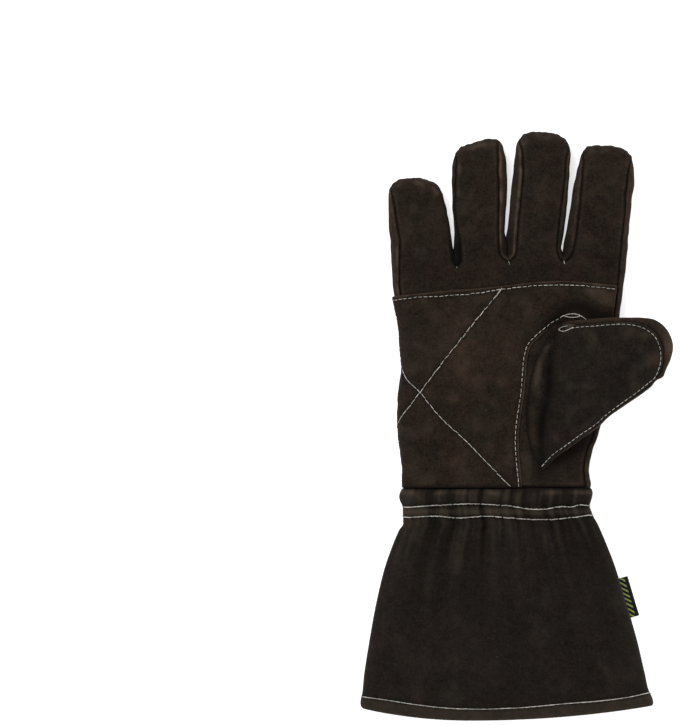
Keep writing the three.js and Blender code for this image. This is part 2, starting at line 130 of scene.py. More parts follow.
# The hand's outline and the palm's seam beside it, as x, y of each, from the wrist at the little
# finger's side round the fingers to the wrist at the thumb's side. A row of two is a point of both
# lines, as over a fingertip, and in a row of three both have its y.
EDGE = [
    (-68.4, -37, -64.6), (-69, -20, -65), (-70.4, -12, -66.4), (-71.5, 0, -67.5), (-71, 19, -67),
    (-69.2, 40, -65.2), (-70.2, 50, -66.2), (-71.1, 62, -67.1), (-73.5, 74, -69.5), (-75.5, 84, -71.4),
    (-76.7, 102, -71.6), (-77.5, 117, -71.7), (-78.5, 126, -73.8), (-78.7, 136, -75.4),
    (-78.5, 143, -76.8), (-76.9, 147, -76.8), (-75.2, 149.2), (-72, 150.8), (-66.5, 151.7),
    (-59.4, 151.8), (-53.1, 149.9), (-49.2, 148.3), (-46.9, 145.6, -47), (-45.2, 141, -45.8),
    (-42.8, 132, -43.4), (-40.8, 121.5, -41.5), (-39.7, 113, -40.8, 112.5), (-39.3, 110, -40.5, 109),
    (-38.9, 108.2, -40.1, 106), (-38, 103, -38.8, 99.8), (-37.9, 101.4, -37.3, 97.4),
    (-38.04, 103, -35.2, 99.4), (-38.97, 108.2, -34.2, 106), (-38.75, 110, -34.4, 109),
    (-38.6, 113, -34.8), (-38.4, 119, -36.2), (-38.7, 126, -37.2), (-39.7, 140, -37.9),
    (-40, 153, -37.6), (-39.2, 162, -37.1), (-37.2, 167.6, -37.1), (-34.9, 170), (-31.4, 172),
    (-24.1, 174.3), (-18.5, 175.8), (-14.6, 175.6), (-11.6, 174.7, -11.8), (-9.1, 172, -11.8, 171.8),
    (-7.5, 166, -11.9, 165.8), (-6.4, 157, -11.9), (-6, 146, -11.4), (-6.5, 136, -11.4),
    (-7.1, 127, -11.5), (-7.4, 122, -11.6, 121.7), (-7.5, 118, -11.6, 117.3),
    (-6.9, 115.8, -11.5, 114.6), (-5.88, 111, -11.2, 108.5), (-5.8, 106.8, -9.4, 103.4),
    (-5.75, 104.4, -5.6, 100.6), (-5.84, 106.8, -2.2, 103), (-5.95, 111, -0.6, 107.5),
    (-6.95, 115.8, 0.15, 114.8), (-6.5, 118, 0.3), (-5.8, 122, 0.55), (-5.4, 126, 0.8), (-4.4, 136, 2),
    (-3.6, 146, 3), (-2.3, 156, 3.6), (-1.3, 165, 3.3), (-0.6, 170.5, 2.4, 171), (1.2, 175.3, 1.4),
    (3.2, 178), (6.4, 179.6), (14.8, 180.1), (21, 178.9), (27.2, 177.2), (29.4, 175.4), (31, 172, 30.9),
    (32.7, 165.5, 30.4, 165.3), (31.9, 156, 29.4), (31.2, 146, 28.3), (30.6, 136, 27.1),
    (29.4, 126, 25.8), (28.3, 117, 24.8, 116.5), (27.2, 111.5, 24.3, 109.8), (26.8, 109, 24.4, 107),
    (27.6, 106.8, 25.4, 103.6), (28.1, 104.6, 28.7, 100.7), (27.54, 106.8, 32.2, 103.2),
    (27.95, 109, 33.9, 106.5), (28.2, 111.5, 34.9, 110), (29.4, 117, 36), (31.1, 126, 37.1),
    (32.7, 136, 38.2), (34.1, 146, 39.1), (36.5, 156, 39.9), (38.4, 164, 40.2), (40, 168, 40.1),
    (42.3, 170.6), (46, 171.6), (54.8, 171.8), (62.6, 170.6), (67, 168.4), (69.5, 165, 69.4),
    (70.8, 159, 68.2), (71.4, 150.7, 66.9), (69.7, 136, 65.7), (68.5, 124.4, 64.8), (67.4, 107, 63.2),
    (65.7, 92, 61.8), (64.3, 82.4, 60.7), (62.4, 67.7, 58.8), (60.2, 50, 56.7), (57.6, 30, 54.2),
    (54.2, 10, 50.8), (51.2, 2.4, 47.8), (49.7, -4.3, 46.3), (46.2, -13.4, 42.8), (45.1, -18.6, 41.7),
    (44.4, -22.9, 41.1), (43.7, -27.4, 40.4), (44.1, -31.4, 40.7), (44.9, -35, 41.5), (44.6, -37, 41.3),
]
# The corners of the fingertips. Between the two of a finger, palm and back meet without a strip.
TIP_CORNERS = [
    (-76.9, 147), (-46.9, 145.6), (-37.2, 167.6), (-11.2, 174.9), (1.2, 175.3), (31, 172), (40, 168),
    (69.5, 165),
]
# The seam that sets the thumb's base into the palm, from the thumb's crotch to the wrist
THUMB_SEAM = [
    (58.2, 64.5), (49, 65.2), (41.4, 65.6), (32.8, 68), (26.7, 66.8), (16.1, 60.1), (7, 51.2),
    (4.6, 45.6), (2.8, 31.7), (0.7, 12), (-1.3, -10.4), (0, -24.4), (1.1, -37),
]
# How high the palm stands along Y, and how far in from the outline it reaches that height
CROWN_HEIGHT = [
    (-37, 18.9), (-26, 19.6), (10, 20.3), (45, 20.3), (79, 19.7), (90, 19), (104, 17.9), (180, 16.6),
]
HAND_CURVE = 35
FINGER_CURVE = 14
FINGER_ROOTS = (78, 108)
# Where the sides are widest, as a share of the height, and how the underside is pressed flat
WIDEST_SHARE = 0.46
UNDERSIDE_PRESS = 1.3
UNDERSIDE_CURVE = 15
# How uneven the cut edges and the turned fingertips are
EDGE_WOBBLE = 0.55
TIP_SCALLOPS = 0.75
FAR = 99
BATCH = 1500
WRIST = -37
THUMB_CROTCH_Y = 66
# The groove beside a seam: how deep, and how far in on the palm and on the thumb's base
GROOVE_DEPTH = 1.5
PALM_GROOVE = 2.2
BASE_GROOVE = 2.6
# A band below the fingers that is darker: its middle and its width
PALM_SHADE = (97, 9)
WRIST_DIP = 1.6
WRIST_DIP_REACH = 3.0


def spaced(rows, step):
    """The rows of a table joined by a smooth line in x and y, and read off about every step."""
    rows = np.array(rows, float)
    gaps = np.maximum(np.linalg.norm(np.diff(rows[:, :2], axis=0), axis=1), 1e-6)
    at = np.concatenate([[0], np.cumsum(gaps)])
    slopes = np.diff(rows, axis=0) / gaps[:, None]
    turn = np.empty_like(rows)
    turn[0], turn[-1] = slopes[0], slopes[-1]
    weight = gaps[:, None]
    turn[1:-1] = (slopes[:-1] * weight[1:] + slopes[1:] * weight[:-1]) / (weight[1:] + weight[:-1])
    stops = np.linspace(0, at[-1], max(2, int(round(at[-1] / step)) + 1))
    k = np.clip(np.searchsorted(at, stops, side="right") - 1, 0, len(gaps) - 1)
    t = ((stops - at[k]) / gaps[k])[:, None]
    h = gaps[k][:, None]
    start = rows[k] * (1 + 2 * t) * (1 - t) ** 2 + turn[k] * h * t * (1 - t) ** 2
    return start + rows[k + 1] * t**2 * (3 - 2 * t) + turn[k + 1] * h * t**2 * (t - 1)


def nearest(points, line):
    """How far each point is from a line, and the number of the line's stretch that it is nearest to."""
    starts, ends = line[:-1], line[1:]
    along = ends - starts
    length = np.maximum((along**2).sum(1), 1e-12)
    distance = np.empty(len(points))
    stretch = np.empty(len(points), int)
    for first in range(0, len(points), BATCH):
        some = points[first : first + BATCH, None, :] - starts
        share = np.clip((some * along).sum(2) / length, 0, 1)
        gap = ((some - share[..., None] * along) ** 2).sum(2)
        best = gap.argmin(1)
        stretch[first : first + BATCH] = best
        distance[first : first + BATCH] = np.sqrt(gap[np.arange(len(best)), best])
    return distance, stretch


def inside(points, ring):
    """Whether each point is inside a closed outline."""
    x, y = points[:, :1], points[:, 1:2]
    x1, y1 = ring[:, 0], ring[:, 1]
    x2, y2 = np.roll(x1, -1), np.roll(y1, -1)
    crosses = (y1 > y) != (y2 > y)
    rise = np.where(y2 == y1, 1e-9, y2 - y1)
    return (np.count_nonzero(crosses & (x < x1 + (x2 - x1) * (y - y1) / rise), axis=1) % 2).astype(bool)


def cut(ring, hole=None, more=(), spacing=POINT_SPACING):
    """A flat blank of leather cut to an outline: its points, and triangles that face up."""
    low, high = ring.min(0), ring.max(0)
    rows = np.arange(low[1], high[1], spacing * 0.866)
    columns = np.arange(low[0], high[0], spacing)
    grid = np.array([(x + spacing / 2 * (i % 2), y) for i, y in enumerate(rows) for x in columns])
    blank = [Vector(p) for p in ring]
    for spots, clear in ((grid, spacing * 0.45), (np.reshape(more, (-1, 2)), 0.05)):
        spots = spots[inside(spots, ring)]
        spots = spots[nearest(spots, np.vstack([ring, ring[:1]]))[0] > clear]
        blank += [Vector(p) for p in spots]
    made = geometry.delaunay_2d_cdt(blank, [], [list(range(len(ring)))], 1, 1e-5)
    points = np.array([tuple(p) for p in made[0]])
    triangles = np.array([f for f in made[2] if len(f) == 3])
    a, b, c = (points[triangles[:, i]] for i in range(3))
    area = (b[:, 0] - a[:, 0]) * (c[:, 1] - a[:, 1]) - (b[:, 1] - a[:, 1]) * (c[:, 0] - a[:, 0])
    triangles[area < 0] = triangles[area < 0][:, ::-1]
    keep = np.abs(area) > 1e-7
    if hole is not None:
        keep &= ~inside((a + b + c) / 3, hole)
    return points, triangles[keep]


def rough(points, size, height, seed):
    """Soft uneven rises and dips of about a size, up to a height."""
    spot = Vector((seed * 17.3, seed * -9.1, seed * 5.7))
    return height * np.array([noise.noise(Vector((p[0], p[1], 0)) / size + spot) for p in points])


def bell(distance, width):
    """1 on a line and falling off to nothing at about twice the width from it."""
    return np.exp(-((distance / width) ** 2))


def round_over(share):
    """The profile of a stuffed edge: steep at 0, level at 1."""
    return (1 - (1 - np.clip(share, 0, 1)) ** 3) ** (1 / 2.4)


def eased(share):
    """A share that starts and ends level."""
    share = np.clip(share, 0, 1)
    return share * share * (3 - 2 * share)


def looked_up(table, at):
    """A table's second column at values of its first."""
    return np.interp(at, *np.transpose(table))


edge = spaced([row * 2 if len(row) == 2 else (*row, row[1])[:4] for row in EDGE], 1.2)
outline, palm_seam = edge[:, :2], edge[:, 2:]
inward = np.gradient(outline, axis=0)
inward = np.column_stack([inward[:, 1], -inward[:, 0]]) / np.linalg.norm(inward, axis=1)[:, None]
seam_depth = np.clip(np.linalg.norm(outline - palm_seam, axis=1) / 1.5, 0, 1)
scallops = (1 - seam_depth) * rough(outline, 2.9, TIP_SCALLOPS, 33)
order = np.arange(len(outline))
gap = np.linalg.norm(outline[:, None] - outline, axis=2) + FAR * (np.abs(order[:, None] - order) < 4)
room = np.clip((gap.min(1) - 0.8) / 3, 0, 1)
wobble = inward * (room * (rough(outline, 6.5, EDGE_WOBBLE, 31) + scallops))[:, None]
outline, palm_seam = outline + wobble, palm_seam + wobble
little_side = outline[: int(np.argmax(outline[:, 1] > 140))]


def side_x(y):
    """The x of the hand's outline on the little finger's side."""
    return np.interp(y, little_side[:, 1], little_side[:, 0])


def outline_at(spot):
    """The number of the outline's point that is nearest to a spot."""
    return int(((outline - spot) ** 2).sum(1).argmin())


tip_line = np.zeros(len(outline), bool)
for first, last in zip(TIP_CORNERS[::2], TIP_CORNERS[1::2]):
    tip_line[outline_at(first) + 1 : outline_at(last)] = True
palm_seam[tip_line] = outline[tip_line]


def crown_at(y):
    """Height of the hand or finger at its middle."""
    return looked_up(CROWN_HEIGHT, y)


def layer_distance(points, grow):
    """How far in each point is from the outline, or from that of a layer that lies outside it."""
    distance = nearest(points, outline)[0]
    if grow == 0:
        return distance
    return np.where(points[:, 0] < side_x(points[:, 1]), grow - distance, grow + distance)


def hand_top(points, grow=0.0):
    """Height of the hand's upper side, or of a layer that is sewn on it."""
    distance = layer_distance(points, grow)
    crown = crown_at(points[:, 1])
    widest = WIDEST_SHARE * crown
    finger = eased((points[:, 1] - FINGER_ROOTS[0]) / (FINGER_ROOTS[1] - FINGER_ROOTS[0]))
    curve = HAND_CURVE + (FINGER_CURVE - HAND_CURVE) * finger + grow
    dip = WRIST_DIP * np.clip(1 - (points[:, 1] - WRIST) / WRIST_DIP_REACH, 0, 1) ** 2
    return widest + (crown + grow - widest) * round_over(distance / curve) - dip


def hand_underside(points, grow=0.0):
    """Height of the hand's underside, which is pressed flat on the floor."""
    distance = layer_distance(points, grow)
    widest = WIDEST_SHARE * crown_at(points[:, 1])
    share = np.clip(distance / UNDERSIDE_CURVE, 0, 1)
    return np.maximum(0, widest - UNDERSIDE_PRESS * widest * (1 - (1 - share) ** 3) ** (1 / 3))


def shell(points, triangles, thickness):
    """A closed layer of leather with the given outer side, as points, faces and its sharp edges."""
    corners = points[triangles]
    face_normal = np.cross(corners[:, 1] - corners[:, 0], corners[:, 2] - corners[:, 0])
    normal = np.zeros_like(points)
    for i in range(3):
        np.add.at(normal, triangles[:, i], face_normal)
    normal /= np.maximum(np.linalg.norm(normal, axis=1), 1e-9)[:, None]
    count = len(points)
    inner = points - normal * np.reshape(thickness, (-1, 1))
    directed = np.vstack([triangles[:, [0, 1]], triangles[:, [1, 2]], triangles[:, [2, 0]]])
    key = directed.min(1) * count + directed.max(1)
    _, first, times = np.unique(key, return_index=True, return_counts=True)
    rim = directed[first[times == 1]]
    sides = np.column_stack([rim[:, 1], rim[:, 0], rim[:, 0] + count, rim[:, 1] + count])
    faces = [*triangles.tolist(), *(triangles[:, ::-1] + count).tolist(), *sides.tolist()]
    return np.vstack([points, inner]), faces, np.vstack([rim, rim + count])


def leather_piece(name, points, triangles, material, wear_and_shade, thickness=LEATHER):
    """A leather panel as an object. The tone given for each point is above 0 where it is lighter, from
    rubbed nap and from painted highlights, and below 0 where shade is painted in creases, seams and
    hollows.
    """
    body, faces, sharp = shell(points, triangles, thickness)
    mesh = bpy.data.meshes.new(name)
    mesh.from_pydata((body * MM).tolist(), [], faces)
    mesh.polygons.foreach_set("use_smooth", [True] * len(faces))
    ends = np.empty(len(mesh.edges) * 2, int)
    mesh.edges.foreach_get("vertices", ends)
    ends = np.sort(ends.reshape(-1, 2), axis=1)
    key = ends[:, 0] * len(body) + ends[:, 1]
    wanted = np.sort(sharp, axis=1)
    crease = np.isin(key, wanted[:, 0] * len(body) + wanted[:, 1])
    mesh.attributes.new("sharp_edge", "BOOLEAN", "EDGE").data.foreach_set("value", crease)
    # The layer carries rubbed wear together with painted highlights and painted shade.
    wear_and_light = mesh.attributes.new("wear_and_shade", "FLOAT", "POINT")
    wear_and_light.data.foreach_set("value", np.tile(np.clip(wear_and_shade, -1, 1), 2).astype(np.float32))
    mesh.materials.append(material)
    piece = placed(name, mesh)
    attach(piece, "root")
    return piece


LINT_SPACING = 5.0
LINT_SIZE = 0.34
LINT_COLOUR = (0.16, 0.13, 0.10)


def new_node(tree, kind, sockets=(), **settings):
    """A node of a kind, with its settings and what its named inputs are given."""
    made = tree.nodes.new(kind)
    for setting, value in settings.items():
        setattr(made, setting, value)
    fill(made, dict(sockets))
    return made


def maths(tree, kind, *values):
    """The output of a node that reckons with constants or outputs."""
    return new_node(tree, "ShaderNodeMath", dict(enumerate(values)), operation=kind).outputs[0]


def suede(name, dark, light, wear_and_light):
    """Split leather: mottled in patches of several sizes, lighter where rubbed and where highlights are
    painted, with painted shade in creases, seams and hollows.
    """
    material = new_material(name, {
        "Roughness": 0.95, "Specular IOR Level": 0.06,
        "Sheen Weight": 0.04, "Sheen Roughness": 0.55, "Sheen Tint": (0.75, 0.62, 0.5, 1),
    })
    tree = material.node_tree
    place = new_node(tree, "ShaderNodeTexCoord").outputs["Object"]

    def patches(size, detail, seed):
        moved = {"Vector": place, "Location": (seed, seed * 0.7, seed * 0.3)}
        spot = new_node(tree, "ShaderNodeMapping", moved).outputs["Vector"]
        sockets = {"Vector": spot, "Scale": 1 / (size * MM), "Detail": detail, "Roughness": 0.62}
        return new_node(tree, "ShaderNodeTexNoise", sockets).outputs["Fac"]

    def share_between(low, high, value):
        sockets = {"Value": value, "From Min": low, "From Max": high}
        return new_node(tree, "ShaderNodeMapRange", sockets).outputs["Result"]

    def blend(share, *colours):
        first, second = [(*colour, 1) if isinstance(colour, tuple) else colour for colour in colours]
        sockets = {"Factor": share, "A": first, "B": second}
        return new_node(tree, "ShaderNodeMix", sockets, data_type="RGBA").outputs["Result"]

    broad, middle, fine = patches(24, 2, 0.11), patches(4.4, 4, 0.37), patches(1.3, 4, 0.71)
    mix = maths(tree, "ADD", maths(tree, "MULTIPLY", broad, 0.20), maths(tree, "MULTIPLY", middle, 0.32))
    mix = maths(tree, "ADD", mix, maths(tree, "MULTIPLY", fine, 0.60))
    redder = (light[0] * 1.10, light[1] * 0.98, light[2] * 0.98)
    greener = (light[0] * 0.88, light[1] * 0.98, light[2] * 0.93)
    lighter = blend(share_between(0.42, 0.58, patches(21, 2, 0.93)), redder, greener)
    colour = blend(share_between(0.44, 0.70, mix), dark, lighter)
    wear_and_shade = new_node(tree, "ShaderNodeAttribute", attribute_name="wear_and_shade").outputs["Fac"]
    # Above 0 the tone lightens the leather, for rubbed nap and for painted highlights.
    lightening = maths(tree, "MAXIMUM", wear_and_shade, 0.0)
    colour = blend(maths(tree, "MULTIPLY", lightening, maths(tree, "ADD", middle, 0.3)), colour, wear_and_light)
    # Below 0 it darkens it: painted shade in creases, seam grooves and hollows.
    crease = maths(tree, "MAXIMUM", maths(tree, "MULTIPLY", wear_and_shade, -1.0), 0.0)
    colour = blend(crease, colour, tuple(0.3 * value for value in dark))
    lint = new_node(tree, "ShaderNodeTexVoronoi", {"Vector": place, "Scale": 1 / (LINT_SPACING * MM)})
    speck = maths(tree, "LESS_THAN", lint.outputs["Distance"], LINT_SIZE / LINT_SPACING)
    speck = maths(tree, "MULTIPLY", speck, maths(tree, "GREATER_THAN", patches(11, 1, 0.29), 0.56))
    colour = blend(maths(tree, "MULTIPLY", speck, 0.16), colour, LINT_COLOUR)
    nap = maths(tree, "MULTIPLY", patches(0.9, 2, 0.53), 0.7)
    nap = maths(tree, "ADD", nap, fine)
    bump = new_node(tree, "ShaderNodeBump", {"Strength": 0.55, "Distance": 0.55 * MM, "Height": nap})
    fill(tree.nodes["Principled BSDF"], {"Base Color": colour, "Normal": bump.outputs["Normal"]})
    return material


HAND_SUEDE = suede(
    "hand_suede", (0.0064, 0.0043, 0.0032), (0.0208, 0.0142, 0.0102), (0.063, 0.0441, 0.0306)
)

crotch = np.flatnonzero(palm_seam[:, 1] > THUMB_CROTCH_Y).max()
thumb_seam = spaced(THUMB_SEAM, 1.4)
palm_ring = np.vstack([palm_seam[: crotch + 1], thumb_seam])
near_tips = np.vstack([(outline + inward * reach)[seam_depth < 0.7] for reach in (0.15, 0.5, 1.05)])
palm, palm_faces = cut(palm_ring, more=near_tips)
reach, which = nearest(palm, palm_ring)
border_depth = np.concatenate([seam_depth[: crotch + 1], np.ones(len(thumb_seam))])[which]
groove = border_depth * np.clip(1 - reach / PALM_GROOVE, 0, 1) ** 2
from_outline = nearest(palm, outline)[0]
height = hand_top(palm) - GROOVE_DEPTH * groove - 0.25 * (from_outline < 0.02)
height += np.clip(from_outline / 4, 0, 1) * (rough(palm, 16, 0.5, 1) + rough(palm, 6, 0.22, 2))
tips = bell(nearest(palm, outline[seam_depth < 0.5])[0] - 3.0, 1.6) * (palm[:, 1] > 135)
wear_and_shade = 0.18 * np.clip(rough(palm, 9, 1.6, 3), 0, 1)
wear_and_shade += tips * np.clip(0.12 + rough(palm, 7, 1.6, 30), 0, 0.7)
# A lighter line beside each seam. Shade is painted in the seam's groove and along the wrist seam.
wear_and_shade += 0.25 * border_depth * bell(reach - 1.5, 0.55)
wear_and_shade -= 0.8 * border_depth * bell(reach, 0.6) + 0.9 * bell(palm[:, 1] - WRIST, 0.9)
wear_and_shade -= 0.22 * bell(palm[:, 1] - PALM_SHADE[0], PALM_SHADE[1])
palm_body = np.column_stack([palm, height])
palm_panel = leather_piece("palm_panel", palm_body, palm_faces, HAND_SUEDE, wear_and_shade)
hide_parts("palm_panel")

# Thumb base
# The palm-side leather between the palm's seam, the wrist and the glove's edge. The thumb's pouch is
# set into a hole in it.
THUMB_HOLE = [(16, 47), (28, 54), (44, 54), (48, 40), (41, 18), (29, 6), (17, -6), (12, 0), (11, 25)]
# The line beside the thumb along which the thumb's shadow is painted
UNDER_THUMB = [(15, -27), (30, -17), (50, -3), (60, 5)]

base_ring = np.vstack([palm_seam[crotch + 1 :], thumb_seam[::-1]])
base, base_faces = cut(base_ring, hole=np.array(THUMB_HOLE))
reach = nearest(base, base_ring)[0]
groove = np.clip(1 - reach / BASE_GROOVE, 0, 1) ** 2
height = hand_top(base) + rough(base, 14, 0.7, 4) + rough(base, 5, 0.25, 5) - GROOVE_DEPTH * groove
wear_and_shade = 0.25 * bell(reach - 1.8, 0.8) + 0.25 * np.clip(rough(base, 9, 1.6, 6), 0, 1)
# Shade is painted in the seam's groove, along the line under the thumb and along the wrist seam.
wear_and_shade -= 0.9 * bell(reach, 0.9)
wear_and_shade -= 0.8 * bell(nearest(base, np.array(UNDER_THUMB, float))[0], 5.5)
wear_and_shade -= 0.9 * bell(base[:, 1] - WRIST, 0.9)
base_body = np.column_stack([base, height])
thumb_base = leather_piece("thumb_base", base_body, base_faces, HAND_SUEDE, wear_and_shade)
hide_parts("thumb_base")

# Back of the hand
# One panel for the back of the hand and the four fingers, pressed flat on what the glove lies on. It
# turns up over the fingertips, where it meets the palm.
BACK_SEAM_INSET = 0.5
TIP_TUCK = 0.25
PATCH_LAYER = 1.9
# The edge of the patch that is wrapped round on to the back: x at its top and at the wrist
PATCH_BACK_X = (-49.4, -41.5)
PATCH_BACK_TOP = 79.0
# Topstitching runs down from the fingertips beside each finger's seams
TOPSTITCH_INSET = 2.4
TOPSTITCH_STEPS = 34

to_seam = palm_seam - outline
run = np.maximum(np.linalg.norm(to_seam, axis=1), 1e-6)[:, None]
back_seam = outline + to_seam / run * np.minimum(run, BACK_SEAM_INSET)
back_seam[tip_line] = (outline + inward * TIP_TUCK)[tip_line]
beside = np.vstack([outline + inward * reach for reach in (0.9, 1.7, 2.6)])
back, back_faces = cut(back_seam, more=beside)
back_faces = back_faces[:, ::-1]


def patch_back_x(y):
    """The edge of the patch on the back of the hand."""
    return np.interp(y, (WRIST, PATCH_BACK_TOP), PATCH_BACK_X[::-1])


def patch_lift(points):
    """What the patch that is wrapped under the little finger's side raises the back by."""
    across = eased((patch_back_x(points[:, 1]) + 5 - points[:, 0]) / 7)
    return PATCH_LAYER * across * eased((PATCH_BACK_TOP + 5 - points[:, 1]) / 7)


height = np.maximum(hand_underside(back), patch_lift(back))
height += np.clip(rough(back, 18, 0.5, 7), 0, 1)
topstitching = []
for number, corner in enumerate(TIP_CORNERS):
    first = outline_at(corner) - TOPSTITCH_STEPS * (number % 2 == 0)
    topstitching.append((outline + inward * TOPSTITCH_INSET)[first : first + TOPSTITCH_STEPS])
    height += 0.5 * bell(nearest(back, topstitching[-1])[0], 1.1) * np.clip(2 - height, 0, 1)
tucked = np.abs(back[:, None] - back_seam[tip_line]).sum(2).min(1) < 0.001
height[tucked] = WIDEST_SHARE * crown_at(back[tucked, 1]) + 0.3
reach = nearest(back, back_seam)[0]
# Lighter beside the seam, with painted shade in the seam itself.
wear_and_shade = 0.3 * bell(reach - 2, 1.0) + 0.3 * np.clip(rough(back, 9, 1.6, 8), 0, 1) - 0.8 * bell(reach, 0.8)
back_body = np.column_stack([back, height])
back_panel = leather_piece("back_panel", back_body, back_faces, HAND_SUEDE, wear_and_shade)
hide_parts("back_panel")

# Side strips
# Long narrow strips of browner suede, one between each pair of fingers and one down each side of the
# hand. They are sewn between palm and back and narrow to nothing at the fingertips.
STRIP_TOP_STEPS = 8
STRIP_UNDER_STEPS = 5
STRIP_GAP = 0.25
STRIP_DIP = 1.3
STRIP_DIP_REACH = 2.4
STRIP_SUEDE = suede(
    "strip_suede", (0.0088, 0.0062, 0.0045), (0.0304, 0.0208, 0.0144), (0.081, 0.0576, 0.0396)
)
# Each strip's two ends, as a point near each on the outline, and how much its ridge is lightened; below
# 0 it is darkened with painted shade
STRIPS = [
    ("side_strip_little", (-68.4, -37), (-76.9, 147), 0.6),
    ("fourchette_little_ring", (-46.9, 145.6), (-37.2, 167.6), -0.35),
    ("fourchette_ring_middle", (-11.2, 174.9), (1.2, 175.3), 1.0),
    ("fourchette_middle_index", (30.6, 172), (40.0, 168), 0.35),
    ("side_strip_index", (69.3, 165), (44.1, -37), 0.2),
]
# The hollows between the fingers and under the thumb where shade is painted, and how dark each is
# painted
WEBS = [((-37.2, 105), 1.1), ((-6.2, 112), 0.7), ((28.5, 109), 0.8), ((47.5, -6), 0.6)]
WEB_REACH = (5, 12)


def grid_faces(rows, columns):
    """Triangles of a sheet of points that lie in rows and columns."""
    number = np.arange(rows * columns).reshape(rows, columns)
    a, b = number[:-1, :-1].ravel(), number[:-1, 1:].ravel()
    c, d = number[1:, 1:].ravel(), number[1:, :-1].ravel()
    return np.vstack([np.column_stack([a, b, c]), np.column_stack([a, c, d])])


for name, start, end, lightening in STRIPS:
    part = slice(max(outline_at(start) - 1, 0), outline_at(end) + 2)
    out, seam, under = outline[part], palm_seam[part], back_seam[part]
    width = np.linalg.norm(out - seam, axis=1)
    share = STRIP_GAP / np.maximum(width, 2 * STRIP_GAP)
    rows = []
    for step in range(STRIP_TOP_STEPS + 1):
        at = share + (1 - share) * (1 - (1 - step / STRIP_TOP_STEPS) ** 2)
        flat = seam + (out - seam) * at[:, None]
        dip = STRIP_DIP * np.clip(1 - at * width / STRIP_DIP_REACH, 0, 1) ** 2
        rows.append(np.column_stack([flat, hand_top(flat) - dip * np.clip(width / 1.5, 0, 1)]))
    for step in range(1, STRIP_UNDER_STEPS + 1):
        flat = out + (under - out) * (step / STRIP_UNDER_STEPS) ** 2
        rows.append(np.column_stack([flat, hand_underside(flat)]))
    body = np.array(rows).transpose(1, 0, 2).reshape(-1, 3)
    flat, across = body[:, :2], len(rows)
    body[:, 2] += rough(flat, 9, 0.35, 9) * np.repeat(np.clip(width / 2, 0, 1), across)
    spread = np.tile(np.linspace(0.4, -0.4, across), len(out))
    body[:, 2] += np.repeat(np.clip(1 - width / 0.3, 0, 1), across) * spread
    from_seam = np.linalg.norm(np.array(rows)[:, :, :2] - seam, axis=2).T.ravel()
    wear_and_shade = lightening * bell(from_seam - 1.3, 1.0) * (0.75 + np.clip(rough(flat, 7, 1.4, 10), -0.5, 0.6))
    # Shade is painted in the seam and in the hollows between the fingers and under the thumb.
    wear_and_shade -= 0.9 * bell(from_seam, 0.45)
    for web, dark in WEBS:
        wear_and_shade -= dark * bell(np.linalg.norm((flat - web) / WEB_REACH, axis=1), 1)
    strip = leather_piece(name, body, grid_faces(len(out), across)[:, ::-1], STRIP_SUEDE, wear_and_shade)
    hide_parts(name)

# Palm patch
# A second layer of redder suede over the palm. It is sewn on flat with a raw edge, and wraps round the
# little finger's side on to the back.
PATCH_LEATHER = 1.6
PATCH_SUEDE = suede(
    "patch_suede", (0.0066, 0.0043, 0.0031), (0.0226, 0.0148, 0.0102), (0.072, 0.0495, 0.0342)
)
# The patch's edges, as x, y
PATCH_RIGHT = [
    (2.7, -37), (1.8, -25.5), (0.7, -11.6), (1.3, 2.2), (2.5, 10), (3.6, 17.1), (5, 31), (6.2, 43.6),
    (8.2, 49.4), (13, 54.5), (19, 59.6), (25.5, 64.3), (30.4, 66.5), (34.6, 66.7), (42.3, 63.9),
    (50, 62.9), (58, 62.5),
]
PATCH_TOP = [
    (60.9, 86.2), (45, 87.7), (28.7, 88.9), (13.4, 88.4), (-3, 86.6), (-22.6, 84.5), (-46.4, 82.7),
    (-62, 81), (-75.8, 79.6),
]
# Lines of stitching on the palm
PATCH_TOP_STITCH = [
    (-74.8, 77.3), (-62.8, 78.8), (-40.3, 80.2), (-18.3, 82.5), (-10.1, 84), (2, 85.4), (13.4, 86.3),
    (35.4, 86.4), (50, 85.2), (60.3, 84),
]
PATCH_RIGHT_STITCH = [
    (28.4, 67.9), (23.5, 65), (17.7, 61), (11.5, 55.8), (6.5, 50.4), (4.3, 43.9), (3.1, 31), (1.7, 17.3),
    (-0.6, 2.4), (-1.2, -11.6), (0, -25.6), (0.9, -37),
]
CROSS_STITCH_DOWN = [(-10.1, 83.9), (-13.4, 79.6), (-27.5, 62.2), (-46.4, 38.4), (-59.6, 21), (-68, 10)]
CROSS_STITCH_UP = [(-67.4, 28.7), (-59.6, 21), (-46.4, 5.5), (-30.5, -9.2), (-18.3, -22), (-4.3, -36.2)]
# The same lines where they go on underneath, on the back of the hand
PATCH_BACK_STITCH = [
    (-72.5, 76.9), (-60, 76.9), (-54.8, 76.4), (-53.5, 74.6), (-50.6, 40.3), (-48.2, 0), (-45.8, -34.5),
    (-45.6, -36),
]
CROSS_BACK_UP = [(-65.5, 64.7), (-55.2, 76)]
CROSS_BACK_DOWN = [(-66.4, -9.5), (-57.5, -21.5), (-47.6, -35.1)]
# The way of a crossed row round the side of the hand: how far in from the side, how high, and its share
# of the way along the hand
SIDE_TURN = [
    (0.4, 12.6, 0.12), (0, 11, 0.22), (0, 9.3, 0.33), (0, 7.5, 0.45), (0.1, 5.6, 0.57), (0.5, 3.6, 0.70),
    (1.4, 1.9, 0.83), (2.4, 0.9, 0.92), (3.5, 0.3, 1),
]
CROSS_TURN_UP = (33.5, 55.5)
CROSS_TURN_DOWN = (2.8, -6.4)
# Where the thumb's shade is painted on the patch, which the thumb also soils
THUMB_SHADE = [(21, 63.5), (29.5, 71), (36.5, 72.5), (44, 69.5), (60, 65)]
